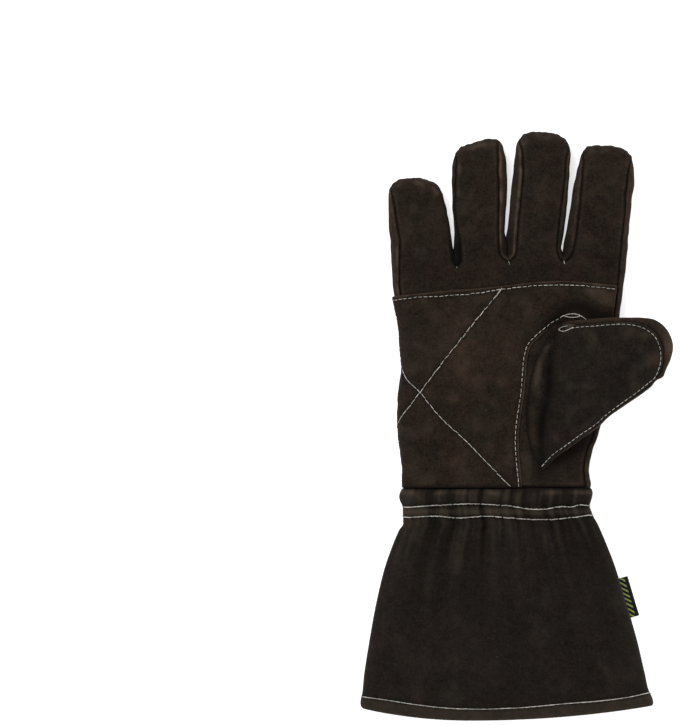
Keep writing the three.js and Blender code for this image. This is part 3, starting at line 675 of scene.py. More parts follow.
# Where the patch is rubbed browner, and the middle of its palest part
PATCH_RUBBED = [(48, 83), (55, 76)]
PATCH_PALE = (-37, 50)
PATCH_PALE_REACH = 19


def patch_side_at(y):
    """The patch's outer side, where it turns round the hand's."""
    return side_x(y) - PATCH_LAYER


def folded(x, y):
    """Where a point of the back lies on the flat blank, before the patch is wrapped round."""
    return 2 * patch_side_at(y) - x


def folded_point(spot):
    """A point of the back on the flat blank."""
    return float(folded(*spot)), spot[1]


def wrapped(blank):
    """The flat blank laid over the palm and round its side. Past the side it runs back underneath."""
    side = patch_side_at(blank[:, 1])
    over = blank[:, 0] >= side
    flat = np.column_stack([np.where(over, blank[:, 0], 2 * side - blank[:, 0]), blank[:, 1]])
    height = np.where(over, hand_top(flat, PATCH_LAYER), hand_underside(flat, PATCH_LAYER))
    return np.column_stack([flat, height]), over


back_y = np.arange(PATCH_BACK_TOP, WRIST, -1.4)
back_x = patch_back_x(back_y)
top_x = np.linspace(-77, folded(PATCH_BACK_X[0], PATCH_BACK_TOP), 24)
wrist_x = np.linspace(folded(PATCH_BACK_X[1], WRIST), 1.6, 75)
patch_ring = np.vstack([
    spaced(PATCH_RIGHT, 1.3),
    spaced(PATCH_TOP, 1.3),
    np.column_stack(np.broadcast_arrays(top_x, PATCH_BACK_TOP)),
    np.column_stack([folded(back_x, back_y), back_y])[1:],
    np.column_stack(np.broadcast_arrays(wrist_x, WRIST)),
])
round_side = np.arange(-36.5, 79, 1.3)
near_side = np.vstack([
    np.column_stack([patch_side_at(round_side) + out, round_side])
    for out in (-2.6, -1.9, -1.2, -0.6, -0.2, 0, 0.12, 0.5, 1.0, 1.6)
])
patch, patch_faces = cut(patch_ring, more=near_side)
body, over = wrapped(patch)
back_row, down_row, up_row = (
    [folded_point(spot) for spot in line] for line in (PATCH_BACK_STITCH, CROSS_BACK_DOWN, CROSS_BACK_UP)
)
palm_stitching = [
    spaced(line, 1.0) for line in (
        [*back_row[::-1], *PATCH_TOP_STITCH],
        PATCH_RIGHT_STITCH,
        [*CROSS_STITCH_DOWN, *down_row],
        [*up_row[::-1], *CROSS_STITCH_UP],
    )
]
edge_reach = nearest(patch, patch_ring[: -len(wrist_x)])[0]
pressed = np.zeros(len(patch))
for line in palm_stitching:
    pressed = np.maximum(pressed, bell(nearest(patch, line)[0], 1.3))
body[:, 2] += over * (rough(patch, 15, 0.55, 11) + rough(patch, 5.5, 0.25, 12) - 0.75 * pressed)
body[:, 2] += ~over * 0.55 * pressed
body[:, 2] -= over * 0.5 * bell(edge_reach, 1.0)
body[:, 2] = np.maximum(body[:, 2], 0)
wear_and_shade = 0.6 * bell(edge_reach, 0.45) + 0.2 * np.clip(rough(patch, 10, 1.6, 13), 0, 1)
wear_and_shade += 0.4 * bell(nearest(patch, np.array(PATCH_RUBBED, float))[0], 7.0)
wear_and_shade += 0.17 * bell(np.linalg.norm(patch - PATCH_PALE, axis=1), PATCH_PALE_REACH)
# Darker along the stitching. Shade is painted along the wrist seam and beside the thumb.
wear_and_shade -= 0.35 * pressed + 0.9 * bell(patch[:, 1] - WRIST, 0.9)
wear_and_shade -= 0.85 * bell(nearest(patch, spaced(THUMB_SHADE, 1.5))[0], 6.0)
palm_patch = leather_piece("palm_patch", body, patch_faces, PATCH_SUEDE, wear_and_shade, PATCH_LEATHER)
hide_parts("palm_patch")
palm_patch_top = body, patch_faces

# Thumb
# A pouch that lies across the palm, of a front panel with a turned edge and a second, browner panel
# that wraps its sides and back. At its heel the front folds down into the palm.
# The front panel's edge, as x, y, z: along the top, round the tip and back to the heel, and its fold
THUMB_FRONT_EDGE = [
    (28, 62.5, 20.6), (31.5, 63, 23.5), (36, 62.3, 26.6), (45.8, 63, 30.6), (56.1, 63.8, 33),
    (66, 64, 34), (73.5, 63.3, 33.6), (79.2, 60.9, 33), (85, 55.8, 32.2), (88.2, 48.2, 31.8),
    (88.4, 40.3, 31.8), (87, 34.6, 32), (85.7, 31.9, 32.1), (83.5, 29, 32.2), (79.4, 25.1, 33),
    (74.4, 21.3, 33.5), (63.6, 13.6, 33.6), (53, 5.6, 32.8), (49.9, 2.9, 32.3), (39, -6, 29),
    (29.4, -13, 25.2), (22.4, -18, 22.4), (18.4, -22.5, 20.6), (15.9, -25.6, 19.6),
]
THUMB_FOLD = [
    (15.9, -25.6, 19.6), (13.8, -24.6, 20.2), (12, -22, 20.6), (7.9, -12.8, 20.8), (5.7, -1, 21),
    (5.5, 8, 21.1), (6.5, 19.5, 21.1), (8.5, 31.7, 21.1), (12.8, 44.8, 21), (19.8, 56.1, 20.8),
    (25, 61, 20.6), (28, 62.5, 20.6),
]
# The thumb's outline beside each row of its edge
THUMB_OUTLINE = [
    (27.6, 63.6, 19.8), (31.5, 64.4, 20.8), (36, 65, 22.5), (46, 65.9, 26), (56, 66.5, 28.5),
    (67, 66.7, 29.3), (76.5, 66.6, 29), (83.5, 65.4, 28.6), (90.6, 60, 28), (94.7, 50.5, 27.7),
    (93.2, 41, 27.7), (90.3, 34.6, 27.8), (88.8, 30.7, 27.8), (84.8, 28.5, 28), (81.4, 24.5, 28.6),
    (75.8, 20.2, 29), (64.7, 12.6, 29), (54.1, 4.8, 28.2), (51, 1.6, 27.6), (39.5, -6.9, 24.5),
    (29.8, -14, 22), (22.8, -19, 20.6), (18.7, -23.4, 19.6), (16.2, -26.4, 19.2),
]
# The front's height in its middle, and the underside's, along X
THUMB_CROWN = [
    (5, 22), (9, 23.2), (17, 27), (26, 30.8), (35.3, 34.4), (50.5, 37.9), (65.8, 39), (78, 38.2),
    (89, 36),
]
THUMB_BASE_HEIGHT = [(16, 19.2), (40, 20.4), (50, 20.6), (65.8, 21), (95, 20.8)]
# The line under the thumb where the back panel's edges meet: its x at both ends, and y by distance
# from the heel
THUMB_SPINE_ENDS = (24, 74)
THUMB_SPINE = [(0, 20), (14, 25), (34, 34), (49, 40), (64, 45)]
THUMB_CURVE = 15
# The back panel is pared thin where it meets the front, over these rows of points
THUMB_LIP_LEATHER = 0.3
THUMB_LIP_ROWS = 7
THUMB_LIP_TUCK = 0.9
# Underneath it is drawn in by this much, over these rows
THUMB_UNDER_PULL = 7
THUMB_UNDER_ROWS = 6
THUMB_TIP_RUBBED = (92.5, 49.5)
THUMB_FRONT_RUBBED = (83, 41)
# The crease where the front folds down to the palm
THUMB_VALLEY = [
    (26, 61), (23.1, 55.7), (20.8, 47), (19.9, 38.6), (19.2, 23), (16.1, 7.4), (14.5, -8.1),
    (15.3, -22.1),
]
THUMB_STITCH = [
    (31.8, 59.9), (36, 60.6), (45.8, 61.3), (56.1, 62.2), (64.5, 62.5), (72.3, 61.6), (77.8, 59.5),
    (83.6, 54.7), (86.6, 47.6), (87, 40.6), (85.6, 34.7), (83.4, 30.2), (78.6, 26.1), (73.7, 22.1),
    (63, 14.4), (52.6, 6.4), (49.8, 3.7), (38.4, -4.5), (28.7, -11.6), (22, -16.4), (14.8, -24),
]

front_edge = spaced(THUMB_FRONT_EDGE, 1.2)
fold = spaced(THUMB_FOLD, 1.2)
front_ring = np.vstack([front_edge[:-1], fold[:-1]])
front, front_faces = cut(front_ring[:, :2], spacing=1.2)
closed_ring = np.vstack([front_ring, front_ring[:1]])
reach, which = nearest(front, closed_ring[:, :2])
edge_height = closed_ring[which, 2]
crown = looked_up(THUMB_CROWN, front[:, 0])
height = edge_height + (crown - edge_height) * round_over(reach / THUMB_CURVE)
valley = bell(nearest(front, spaced(THUMB_VALLEY, 1.0))[0], 3.2)
stitch_line = spaced(THUMB_STITCH, 1.0)
stitch_reach = nearest(front, stitch_line)[0]
height -= 2.0 * valley + 0.8 * bell(stitch_reach, 1.3)
height += rough(front, 15, 1.0, 14) + rough(front, 6, 0.35, 15)
fold_reach = nearest(front, fold[:, :2])[0]
# The ridge beside the fold is lighter, partly from rubbed nap and partly from a painted highlight. Shade
# is painted in the valley, along the stitching and at the fold.
ridge = bell(fold_reach - 4, 2.2) * np.clip((front[:, 1] - 2) / 25, 0.3, 1.5)
wear_and_shade = 0.55 * ridge * (0.8 + np.clip(rough(front, 9, 1.6, 19), -0.8, 0.4))
wear_and_shade += 0.2 * bell(reach, 0.7) + 0.25 * np.clip(rough(front, 8, 1.6, 16), 0, 1)
wear_and_shade += 0.3 * bell(np.linalg.norm(front - THUMB_FRONT_RUBBED, axis=1), 6)
wear_and_shade -= 0.95 * valley + 0.3 * bell(stitch_reach, 1.0) + 1.0 * bell(fold_reach, 0.8)
THUMB_SUEDE = suede(
    "thumb_suede", (0.0045, 0.0036, 0.0029), (0.0152, 0.0116, 0.0086), (0.054, 0.039, 0.027)
)
thumb_body = np.column_stack([front, height])
thumb_front = leather_piece("thumb_front", thumb_body, front_faces, THUMB_SUEDE, wear_and_shade)
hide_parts("thumb_front")

both = spaced([a + b for a, b in zip(THUMB_FRONT_EDGE, THUMB_OUTLINE)], 1.2)
lip, rim = both[:, :3], both[:, 3:]
under_height = np.minimum(looked_up(THUMB_BASE_HEIGHT, rim[:, 0]), rim[:, 2] - 0.2)
spine_x = np.clip(rim[:, 0], *THUMB_SPINE_ENDS)
spine = np.column_stack([spine_x, looked_up(THUMB_SPINE, spine_x - rim[:, 0].min())])
rows = []
for angle in np.linspace(0, np.pi / 2, THUMB_LIP_ROWS):
    drop, swell = 1 - np.cos(angle), np.sin(angle)
    flat = lip[:, :2] + (rim[:, :2] - lip[:, :2]) * swell
    z = lip[:, 2] - THUMB_LIP_TUCK * (1 - swell) + (rim[:, 2] - lip[:, 2]) * drop
    rows.append(np.column_stack([flat, z]))
for angle in np.linspace(0, np.pi / 2, THUMB_UNDER_ROWS)[1:]:
    pull = THUMB_UNDER_PULL * (1 - np.cos(angle))
    aim = spine - rim[:, :2]
    aim /= np.maximum(np.linalg.norm(aim, axis=1), 1e-6)[:, None]
    flat = rim[:, :2] + aim * pull
    rows.append(np.column_stack([flat, rim[:, 2] + (under_height - rim[:, 2]) * np.sin(angle)]))
last = rows[-1][:, :2].copy()
for share in (0.35, 0.7, 1.0):
    flat = last + (spine - last) * share
    rows.append(np.column_stack([flat, under_height + 0.4 * share]))
pouch = np.array(rows).transpose(1, 0, 2).reshape(-1, 3)
pouch[:, 2] += rough(pouch[:, :2], 10, 0.5, 17)
across = len(rows)
lip_share = np.minimum(np.arange(across) / (THUMB_LIP_ROWS - 1), 1)
wear_and_shade = np.tile(np.where(lip_share < 1, -0.2 + 0.8 * lip_share, 0.2), len(lip))
wear_and_shade[THUMB_LIP_ROWS - 1 :: across] = 0.6
wear_and_shade *= 0.7 + np.clip(rough(pouch[:, :2], 7, 1.4, 18), -0.4, 0.5)
wear_and_shade *= np.interp(pouch[:, 1], [57, 63], [1, 0.2])
wear_and_shade += 0.5 * bell(np.linalg.norm(pouch[:, :2] - THUMB_TIP_RUBBED, axis=1), 7)
# Shade is painted along the seam where it meets the front.
wear_and_shade[::across] = -0.9
skived = np.tile(THUMB_LIP_LEATHER + (LEATHER - THUMB_LIP_LEATHER) * lip_share, len(lip))
pouch_faces = grid_faces(len(lip), across)[:, ::-1]
thumb_back = leather_piece("thumb_back", pouch, pouch_faces, STRIP_SUEDE, wear_and_shade, skived)
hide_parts("thumb_back")

# Cuff
# Two panels of near-black suede that flare from the wrist to an open mouth. Two rows of elastic thread
# gather them at the wrist, and the mouth has a folded hem.
# Rows along Y: y, left and right edge, height, depth of the gathers, how far the row bows to the mouth
CUFF = [
    (-36.9, -69.4, 44.4, 15, 0.3, 0), (-37.8, -70.4, 45.4, 18.4, 0.5, 0),
    (-39.6, -71.4, 46, 20.4, 0.7, 0), (-42.6, -72, 45.7, 20.9, 0.9, 0), (-45.8, -71.2, 44.8, 20, 1, 0),
    (-47.9, -70.1, 44.2, 17.6, 1, 0), (-50.4, -69.9, 44.9, 19.2, 1.1, 0.1),
    (-52.8, -69.8, 45.8, 19.1, 1.2, 0.3), (-55, -69.7, 46.7, 17.5, 1.3, 0.5),
    (-57.4, -69.7, 48.2, 19, 1.3, 0.7), (-59.6, -69.7, 49.4, 20.2, 1.4, 0.9),
    (-61.4, -71.3, 50.2, 20.8, 1.4, 1.1), (-65.3, -73.3, 51.9, 21.9, 1.3, 1.5),
    (-73, -76.5, 55.1, 23.8, 1.2, 2.2), (-82, -79.8, 58.6, 25.9, 1, 3),
    (-103, -85.3, 65.1, 29.8, 0.7, 5.3), (-130, -90.4, 73, 33.2, 0.4, 8),
    (-150, -93.5, 77.7, 35, 0.2, 8.9), (-161, -94.7, 80.4, 35.9, 0.1, 8.9),
    (-164, -95.4, 81.9, 35.4, 0.1, 8.9), (-166.5, -95.6, 82.7, 35.8, 0.1, 8.9),
    (-168.5, -95.1, 82.9, 35.4, 0.1, 8.9), (-169.7, -93.8, 82.3, 35, 0.1, 8.9),
]
# The mouth hangs lower at the little finger's side: how much of the bow its end keeps there
CUFF_LEAN = 0.22
CUFF_MOUTH = -169.7
HEM_WIDTH = 7.2
HEM_LEATHER = 3.0
CUFF_SIDE_SEAM = 8.0
CUFF_WRAP = 12.0
CUFF_ROW_SPACING = 1.2
CUFF_LOWEST = -0.25
CUFF_TURN_POINTS = 300
# Where the cuff is rubbed: the roll at the wrist, above the rows of stitches and between them
CUFF_ROLL = -39.8
CUFF_ABOVE_ROWS = -43.5
CUFF_BETWEEN_ROWS = -51.5
CUFF_POINTS = {"cuff_palm": 190, "cuff_back": 120}
CUFF_SUEDE = suede(
    "cuff_suede", (0.0049, 0.0038, 0.0031), (0.0143, 0.0109, 0.0085), (0.045, 0.0342, 0.0252)
)
# The rows of stitches, as x, y: on the palm's side from left to right, underneath from right to left
WRIST_ROWS = [
    {
        "over": [
            (-67.8, -49), (-54.4, -48.1), (-25.2, -46.7), (-11.2, -47.5), (-3, -48.3), (2.8, -49.5),
            (16.8, -50.1), (27.3, -48.5), (33.1, -48.7), (39.6, -47.3), (42.4, -48),
        ],
        "under": [
            (41, -48), (20, -50.2), (0, -51), (-25, -48), (-31.7, -49.5), (-46.4, -46.6), (-66.5, -46.6),
        ],
    },
    {
        "over": [
            (-67.6, -55.1), (-53.2, -54.3), (-47.4, -54.3), (-39.2, -55.2), (-18.2, -54.3), (5.1, -56.2),
            (18, -56.5), (33, -55.2), (43.4, -53.7),
        ],
        "under": [(43, -54), (23.8, -56.7), (1.2, -58), (-33, -55.5), (-66.5, -53)],
    },
]
HEM_ROW = {
    "over": [
        (-93, -164.4), (-81.7, -165.9), (-62.2, -168.8), (-46.1, -170.6), (-22, -171.6), (1.8, -170.6),
        (29.3, -168.2), (53.4, -166.2), (69.5, -164), (79.8, -161.9),
    ],
    "under": [(78, -162.6), (46.4, -167.6), (20, -170.2), (-11.9, -171.3), (-60, -168.6), (-91, -164)],
}

cuff_rows = spaced([(row[0], 0, *row[1:]) for row in CUFF], CUFF_ROW_SPACING)
turn = np.sin(np.linspace(-np.pi / 2, np.pi / 2, CUFF_TURN_POINTS))


def waves(around, along, seed):
    """Soft waves over half a turn of the cuff: how often round it, and where along it."""
    return np.array([noise.noise(Vector((share * around, along, seed))) for share in turn])


def gathers(y, seed):
    """Puckers that the elastic draws, as rises and dips: close at the wrist, broad towards the mouth."""
    close = waves(22, y * 0.03, seed) * np.clip(1 - (-y - 57) / 30, 0, 1)
    return 1.1 * close + waves(9, y * 0.008, seed + 3) * np.clip(1 - (-y - 60) / 60, 0.1, 1)


def slack(y):
    """Broad uneven rises of the leather below the wrist."""
    return 2.4 * np.clip((-y - 50) / 60, 0, 1) * waves(2.2, y * 0.004, 13.3)


def cuff_ring(row):
    """One ring of the cuff, over the top from left to right and back underneath, with its puckers."""
    y, _, left, right, tall, depth, sag = row
    middle, half = (left + right) / 2, (right - left) / 2
    widest = WIDEST_SHARE * tall
    rise = 1 - np.abs(turn) ** 3
    fade = rise**0.5
    pucker_over, pucker_under = gathers(y, 5), gathers(y, 9)
    over = widest + (tall - widest) * rise ** (1 / 2.4)
    over += fade * (2.1 * depth * pucker_over + slack(y))
    under = np.maximum(0, widest - UNDERSIDE_PRESS * widest * rise ** (1 / 3))
    under += fade * np.clip(1.6 * depth * pucker_under, 0, 3)
    away = (turn - CUFF_LOWEST) / (np.sign(turn - CUFF_LOWEST) - CUFF_LOWEST)
    bow = y - sag * (1 - np.where(turn < CUFF_LOWEST, 1 - CUFF_LEAN, 1) * away**2)
    across = middle + half * turn
    bottom = np.column_stack([across, bow, under, pucker_under])[::-1]
    return np.vstack([np.column_stack([across, bow, over, pucker_over]), bottom[1:-1]])


def way_along(points):
    """How far along its line each point in space is."""
    return np.concatenate([[0], np.cumsum(np.linalg.norm(np.diff(points[:, :3], axis=0), axis=1))])


def read_off(points, at, stops):
    """A line's rows at new distances along it."""
    return np.column_stack([np.interp(stops, at, column) for column in points.T])


def cuff_sheet(name, count):
    """The points of a panel of the cuff from wrist to mouth, and their way to each side seam."""
    sheet_rows = []
    below, left_below = CUFF_TURN_POINTS, CUFF_TURN_POINTS + 100
    for row in cuff_rows:
        ring = cuff_ring(row)
        seam_height = min(CUFF_SIDE_SEAM, 0.42 * row[4])
        right_seam = below + int(np.abs(ring[below:, 0] - (row[3] - CUFF_WRAP)).argmin())
        left_seam = left_below + int(np.abs(ring[left_below:, 2] - seam_height).argmin())
        if name == "cuff_palm":
            chain = np.vstack([ring[left_seam:], ring[: right_seam + 1]])
        else:
            chain = ring[right_seam : left_seam + 1][::-1]
        at = way_along(chain)
        stops = np.linspace(0, at[-1], count)
        sheet_rows.append(np.column_stack([read_off(chain, at, stops), stops, at[-1] - stops]))
    return np.array(sheet_rows)


cuff_sheets = []
cuff_stitching = [spaced(row[side], 1.0) for row in (*WRIST_ROWS, HEM_ROW) for side in ("over", "under")]
for name, count in CUFF_POINTS.items():
    rows = cuff_sheet(name, count)
    body, pucker, from_left, from_right = rows[..., :3].reshape(-1, 3), *rows[..., 3:].reshape(-1, 3).T
    y_row = np.repeat(cuff_rows[:, 0], count)
    body[:, 2] += rough(body[:, :2], 20, 0.5, 20) + rough(body[:, :2], 5, 0.25, 22)
    body[:, 0] += 0.8 * np.clip(1 - from_left / 2.2, 0, 1) ** 2
    body[:, 2] += 0.8 * np.clip(1 - from_right / 2.2, 0, 1) ** 2
    underneath = name == "cuff_back"
    pressed = np.zeros(len(body))
    for line in cuff_stitching[underneath::2]:
        pressed = np.maximum(pressed, bell(nearest(body[:, :2], line)[0], 1.3))
    body[:, 2] -= np.where(body[:, 2] > 9, 0.8, -1.0 if underneath else 0) * pressed
    body[:, 2] = np.maximum(body[:, 2], 0)
    hem = np.clip((-y_row + CUFF_MOUTH + HEM_WIDTH) / 0.6 + 1, 0, 1)
    thickness = LEATHER + (HEM_LEATHER - LEATHER) * hem
    # The ridges of the gathers get a painted highlight, and their hollows get painted shade.
    wear_and_shade = 0.22 * np.clip(2 * pucker, 0, 1) - 0.45 * np.clip(-2 * pucker, 0, 1)
    wear_and_shade += 0.4 * hem + 0.3 * bell(y_row - CUFF_MOUTH, 1.2)
    wear_and_shade += 0.15 * np.clip(rough(body[:, :2], 12, 1.6, 21), 0, 1)
    roll = 0.6 + np.clip(rough(body[:, :2], 9, 1.6, 23), -0.6, 0.6)
    wear_and_shade += 0.9 * bell(y_row - CUFF_ROLL, 1.5) * roll
    beside_rows = 0.7 * bell(y_row - CUFF_BETWEEN_ROWS, 2.5) + 0.25 * bell(y_row - CUFF_ABOVE_ROWS, 3)
    wear_and_shade += beside_rows - 0.35 * pressed
    # Shade is painted in the side seams and along the wrist seam.
    wear_and_shade -= 0.9 * (bell(from_left, 0.8) + bell(from_right, 0.8) + bell(y_row - WRIST, 0.7))
    faces = grid_faces(len(rows), count)
    if not underneath:
        faces = faces[:, ::-1]
    cuff_panel = leather_piece(name, body, faces, CUFF_SUEDE, wear_and_shade, thickness)
    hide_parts(name)
    cuff_sheets.append((body, faces))

# Side tab
# A narrow woven ribbon, folded double and caught in the cuff's seam on the thumb's side, where it lies
# on the surface. It has plain woven stripes.
TAB_MIDDLE = (62.35, -105.45)
TAB_REACH = 18.0
TAB_LENGTH = 25.0
TAB_TURN = 0.29
TAB_HEIGHTS = (0.45, 1.55)
TAB_RIBBON = 0.55
TAB_ROWS = 26
# The band of stripes along the ribbon, measured across it
TAB_BAND_MIDDLE = 33.9
TAB_BAND_HALF = 2.4
TAB_GROUND = (0.0035, 0.005, 0.011)
TAB_STRIPE = (0.30, 0.34, 0.08)


def ramp(tree, share, *stops):
    """What lies between two colours, each given with its place."""
    made = new_node(tree, "ShaderNodeValToRGB", {"Fac": share})
    for stop, (at, colour) in zip(made.color_ramp.elements, stops):
        stop.color = (*colour, 1)
        stop.position = at
    return made.outputs["Color"]


shine = {"Roughness": 0.8, "Specular IOR Level": 0.2, "Sheen Weight": 0.04}
ribbon = new_material("woven_ribbon", shine)
tree = ribbon.node_tree
turned = {"Vector": new_node(tree, "ShaderNodeTexCoord").outputs["Object"], "Rotation": (0, 0, TAB_TURN)}
place = new_node(tree, "ShaderNodeMapping", turned, vector_type="TEXTURE").outputs["Vector"]
weave = {"Vector": place, "Scale": 190, "Distortion": 0.4}
weave = new_node(tree, "ShaderNodeTexWave", weave, bands_direction="DIAGONAL").outputs["Fac"]
across = new_node(tree, "ShaderNodeSeparateXYZ", {"Vector": place}).outputs["X"]
band = maths(tree, "COMPARE", across, TAB_BAND_MIDDLE * MM, TAB_BAND_HALF * MM)
colour = ramp(tree, maths(tree, "MULTIPLY", band, weave), (0.55, TAB_GROUND), (0.80, TAB_STRIPE))
grain = new_node(tree, "ShaderNodeTexWave", {"Vector": place, "Scale": 700}).outputs["Fac"]
bump = new_node(tree, "ShaderNodeBump", {"Distance": 0.1 * MM, "Height": grain}).outputs["Normal"]
fill(tree.nodes["Principled BSDF"], {"Base Color": colour, "Normal": bump})

bend = [(-0.5, TAB_HEIGHTS[1]), (0.30, TAB_HEIGHTS[1]), (0.46, TAB_HEIGHTS[1] - 0.1), (0.5, 1.0)]
bend += [(0.46, TAB_HEIGHTS[0] + 0.1), (0.30, TAB_HEIGHTS[0]), (-0.5, TAB_HEIGHTS[0])]
tab_points = []
cosine, sine = np.cos(TAB_TURN), np.sin(TAB_TURN)
for along in np.linspace(-0.5, 0.5, TAB_ROWS):
    for across, z in bend:
        across, down = across * TAB_REACH, along * TAB_LENGTH
        x, y = across * cosine - down * sine, across * sine + down * cosine
        tab_points.append((TAB_MIDDLE[0] + x, TAB_MIDDLE[1] + y, z + 0.12 * np.sin(9 * along)))
tab_faces = grid_faces(TAB_ROWS, len(bend))
side_tab = leather_piece(
    "side_tab", np.array(tab_points), tab_faces, ribbon, np.zeros(len(tab_points)), TAB_RIBBON
)
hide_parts("side_tab")

# Stitching
# Pale grey-green thread in stitches a few millimetres long. Each row follows its seam over the finished
# leather, and each stitch is a small arch that sinks into it at both ends.
# How close the points of a row's path are, and how far beside the glove the search for its side starts
SEAM_STEP = 0.8
CUFF_BESIDE = 130
# Short loose ends of thread, as x, y: at the three webs, at the thumb's first stitch, at the end of the
# patch's row and where the crossed rows start
WEB_ENDS = [
    [(-38.2, 99.6), (-37.4, 98.3), (-36.7, 97)],
    [(-5.3, 101.2), (-4.9, 99.4)],
    [(28.2, 101.6), (28.7, 99.8)],
]
THUMB_LOOP = [(33.4, 60.4), (30.1, 58.7), (28.4, 58.2), (25.3, 59.2), (27, 60.5), (30.3, 61.4)]
PATCH_ENDS = [
    [(27.6, 67.6), (31, 68.7), (35.9, 68.7), (38.2, 67.9), (41.4, 65.9)],
    [(28.9, 67.6), (31.5, 67.0), (35.9, 67.0), (37.8, 67.5)],
    [(-9.7, 84.3), (-11.4, 81.5), (-13.4, 79.0)],
]


def twisted(name, dark, light):
    """Sewing thread: fine twisted fibres with darker soiled lengths."""
    material = new_material(name, {"Roughness": 0.6, "Sheen Weight": 0.15})
    tree = material.node_tree
    place = new_node(tree, "ShaderNodeTexCoord").outputs["Object"]
    soiled = new_node(tree, "ShaderNodeTexNoise", {"Vector": place, "Scale": 160, "Detail": 3})
    twist = new_node(tree, "ShaderNodeTexNoise", {"Vector": place, "Scale": 2600}).outputs["Fac"]
    bump = new_node(tree, "ShaderNodeBump", {"Distance": 0.15 * MM, "Height": twist}).outputs["Normal"]
    colour = ramp(tree, soiled.outputs["Fac"], (0.3, dark), (0.62, light))
    fill(tree.nodes["Principled BSDF"], {"Base Color": colour, "Normal": bump})
    return material


THREAD = twisted("sewing_thread", (0.20, 0.193, 0.17), (0.50, 0.478, 0.43))
MAUVE_THREAD = twisted("mauve_thread", (0.07, 0.055, 0.06), (0.16, 0.13, 0.14))


def stitch_tree():
    """Geometry Nodes that set arched stitches along every line of a wire mesh, end to end."""
    tree = bpy.data.node_groups.new("stitches", "GeometryNodeTree")
    for name, kind in (
        ("Seam Lines", "Geometry"), ("Pitch", "Float"), ("Stitch Length", "Float"),
        ("Thread Width", "Float"), ("Seed", "Int"), ("Thread", "Material"),
    ):
        tree.interface.new_socket(name, in_out="INPUT", socket_type="NodeSocket" + kind)
    tree.interface.new_socket("Stitches", in_out="OUTPUT", socket_type="NodeSocketGeometry")
    given = new_node(tree, "NodeGroupInput").outputs
    line = new_node(tree, "GeometryNodeMeshToCurve", {"Mesh": given["Seam Lines"]}).outputs["Curve"]
    spots = {"Curve": line, "Length": given["Pitch"]}
    spots = new_node(tree, "GeometryNodeCurveToPoints", spots, mode="LENGTH")
    along = {"Vector": spots.outputs["Tangent"]}
    along = new_node(tree, "FunctionNodeAlignRotationToVector", along, axis="Z").outputs["Rotation"]
    out = {"Name": "outwards"}
    out = new_node(tree, "GeometryNodeInputNamedAttribute", out, data_type="FLOAT_VECTOR")
    upright = {"Rotation": along, "Vector": out.outputs["Attribute"]}
    upright = new_node(tree, "FunctionNodeAlignRotationToVector", upright, axis="X", pivot_axis="Z")

    bow = {"Resolution": 6}
    for end, height, place in (("Start", -0.5, -0.5), ("Middle", 0.5, 0.0), ("End", -0.5, 0.5)):
        x = maths(tree, "MULTIPLY", given["Thread Width"], height)
        z = maths(tree, "MULTIPLY", given["Stitch Length"], place)
        bow[end] = new_node(tree, "ShaderNodeCombineXYZ", {"X": x, "Z": z}).outputs["Vector"]
    place = new_node(tree, "GeometryNodeSplineParameter").outputs["Factor"]
    from_middle = maths(tree, "ABSOLUTE", maths(tree, "SUBTRACT", place, 0.5), 0.0)
    taper = maths(tree, "MULTIPLY", maths(tree, "POWER", from_middle, 4.0), 4.0)
    taper = maths(tree, "SUBTRACT", 0.5, taper)
    round_thread = new_node(tree, "GeometryNodeCurvePrimitiveCircle", {"Resolution": 7, "Radius": 1})
    stitch = new_node(tree, "GeometryNodeCurveToMesh", {
        "Curve": new_node(tree, "GeometryNodeCurveQuadraticBezier", bow).outputs["Curve"],
        "Profile Curve": round_thread.outputs["Curve"],
        "Scale": maths(tree, "MULTIPLY", taper, given["Thread Width"]),
        "Fill Caps": True,
    })

    uneven = {2: 0.88, 3: 1.08, "Seed": given["Seed"]}
    uneven = new_node(tree, "FunctionNodeRandomValue", uneven, data_type="FLOAT")
    row = new_node(tree, "GeometryNodeInstanceOnPoints", {
        "Points": spots.outputs["Points"],
        "Instance": stitch.outputs["Mesh"],
        "Rotation": upright.outputs["Rotation"],
        "Scale": uneven.outputs[1],
    })
    made = row.outputs["Instances"]
    for kind in ("RealizeInstances", "SetShadeSmooth", "SetMaterial"):
        finish = new_node(tree, "GeometryNode" + kind, {"Geometry": made})
        made = finish.outputs["Geometry"]
    fill(finish, {"Material": given["Thread"]})
    new_node(tree, "NodeGroupOutput", {"Stitches": made})
    return tree


STITCHES = stitch_tree()
# Each piece's stitches: their pitch and length, the thread's width, and the seed of their unevenness
STITCH_SIZES = {
    "palm_patch_stitching": (3.2, 2.5, 0.39, 3),
    "cross_stitching": (4.2, 4.1, 0.45, 7),
    "thumb_stitching": (3.2, 2.5, 0.40, 4),
    "wrist_stitching": (2.9, 3.3, 0.64, 5),
    "hem_stitching": (3.8, 4.1, 0.51, 6),
    "finger_back_stitching": (3.0, 2.5, 0.45, 8),
    "thread_ends": (0.8, 1.3, 0.42, 9),
}


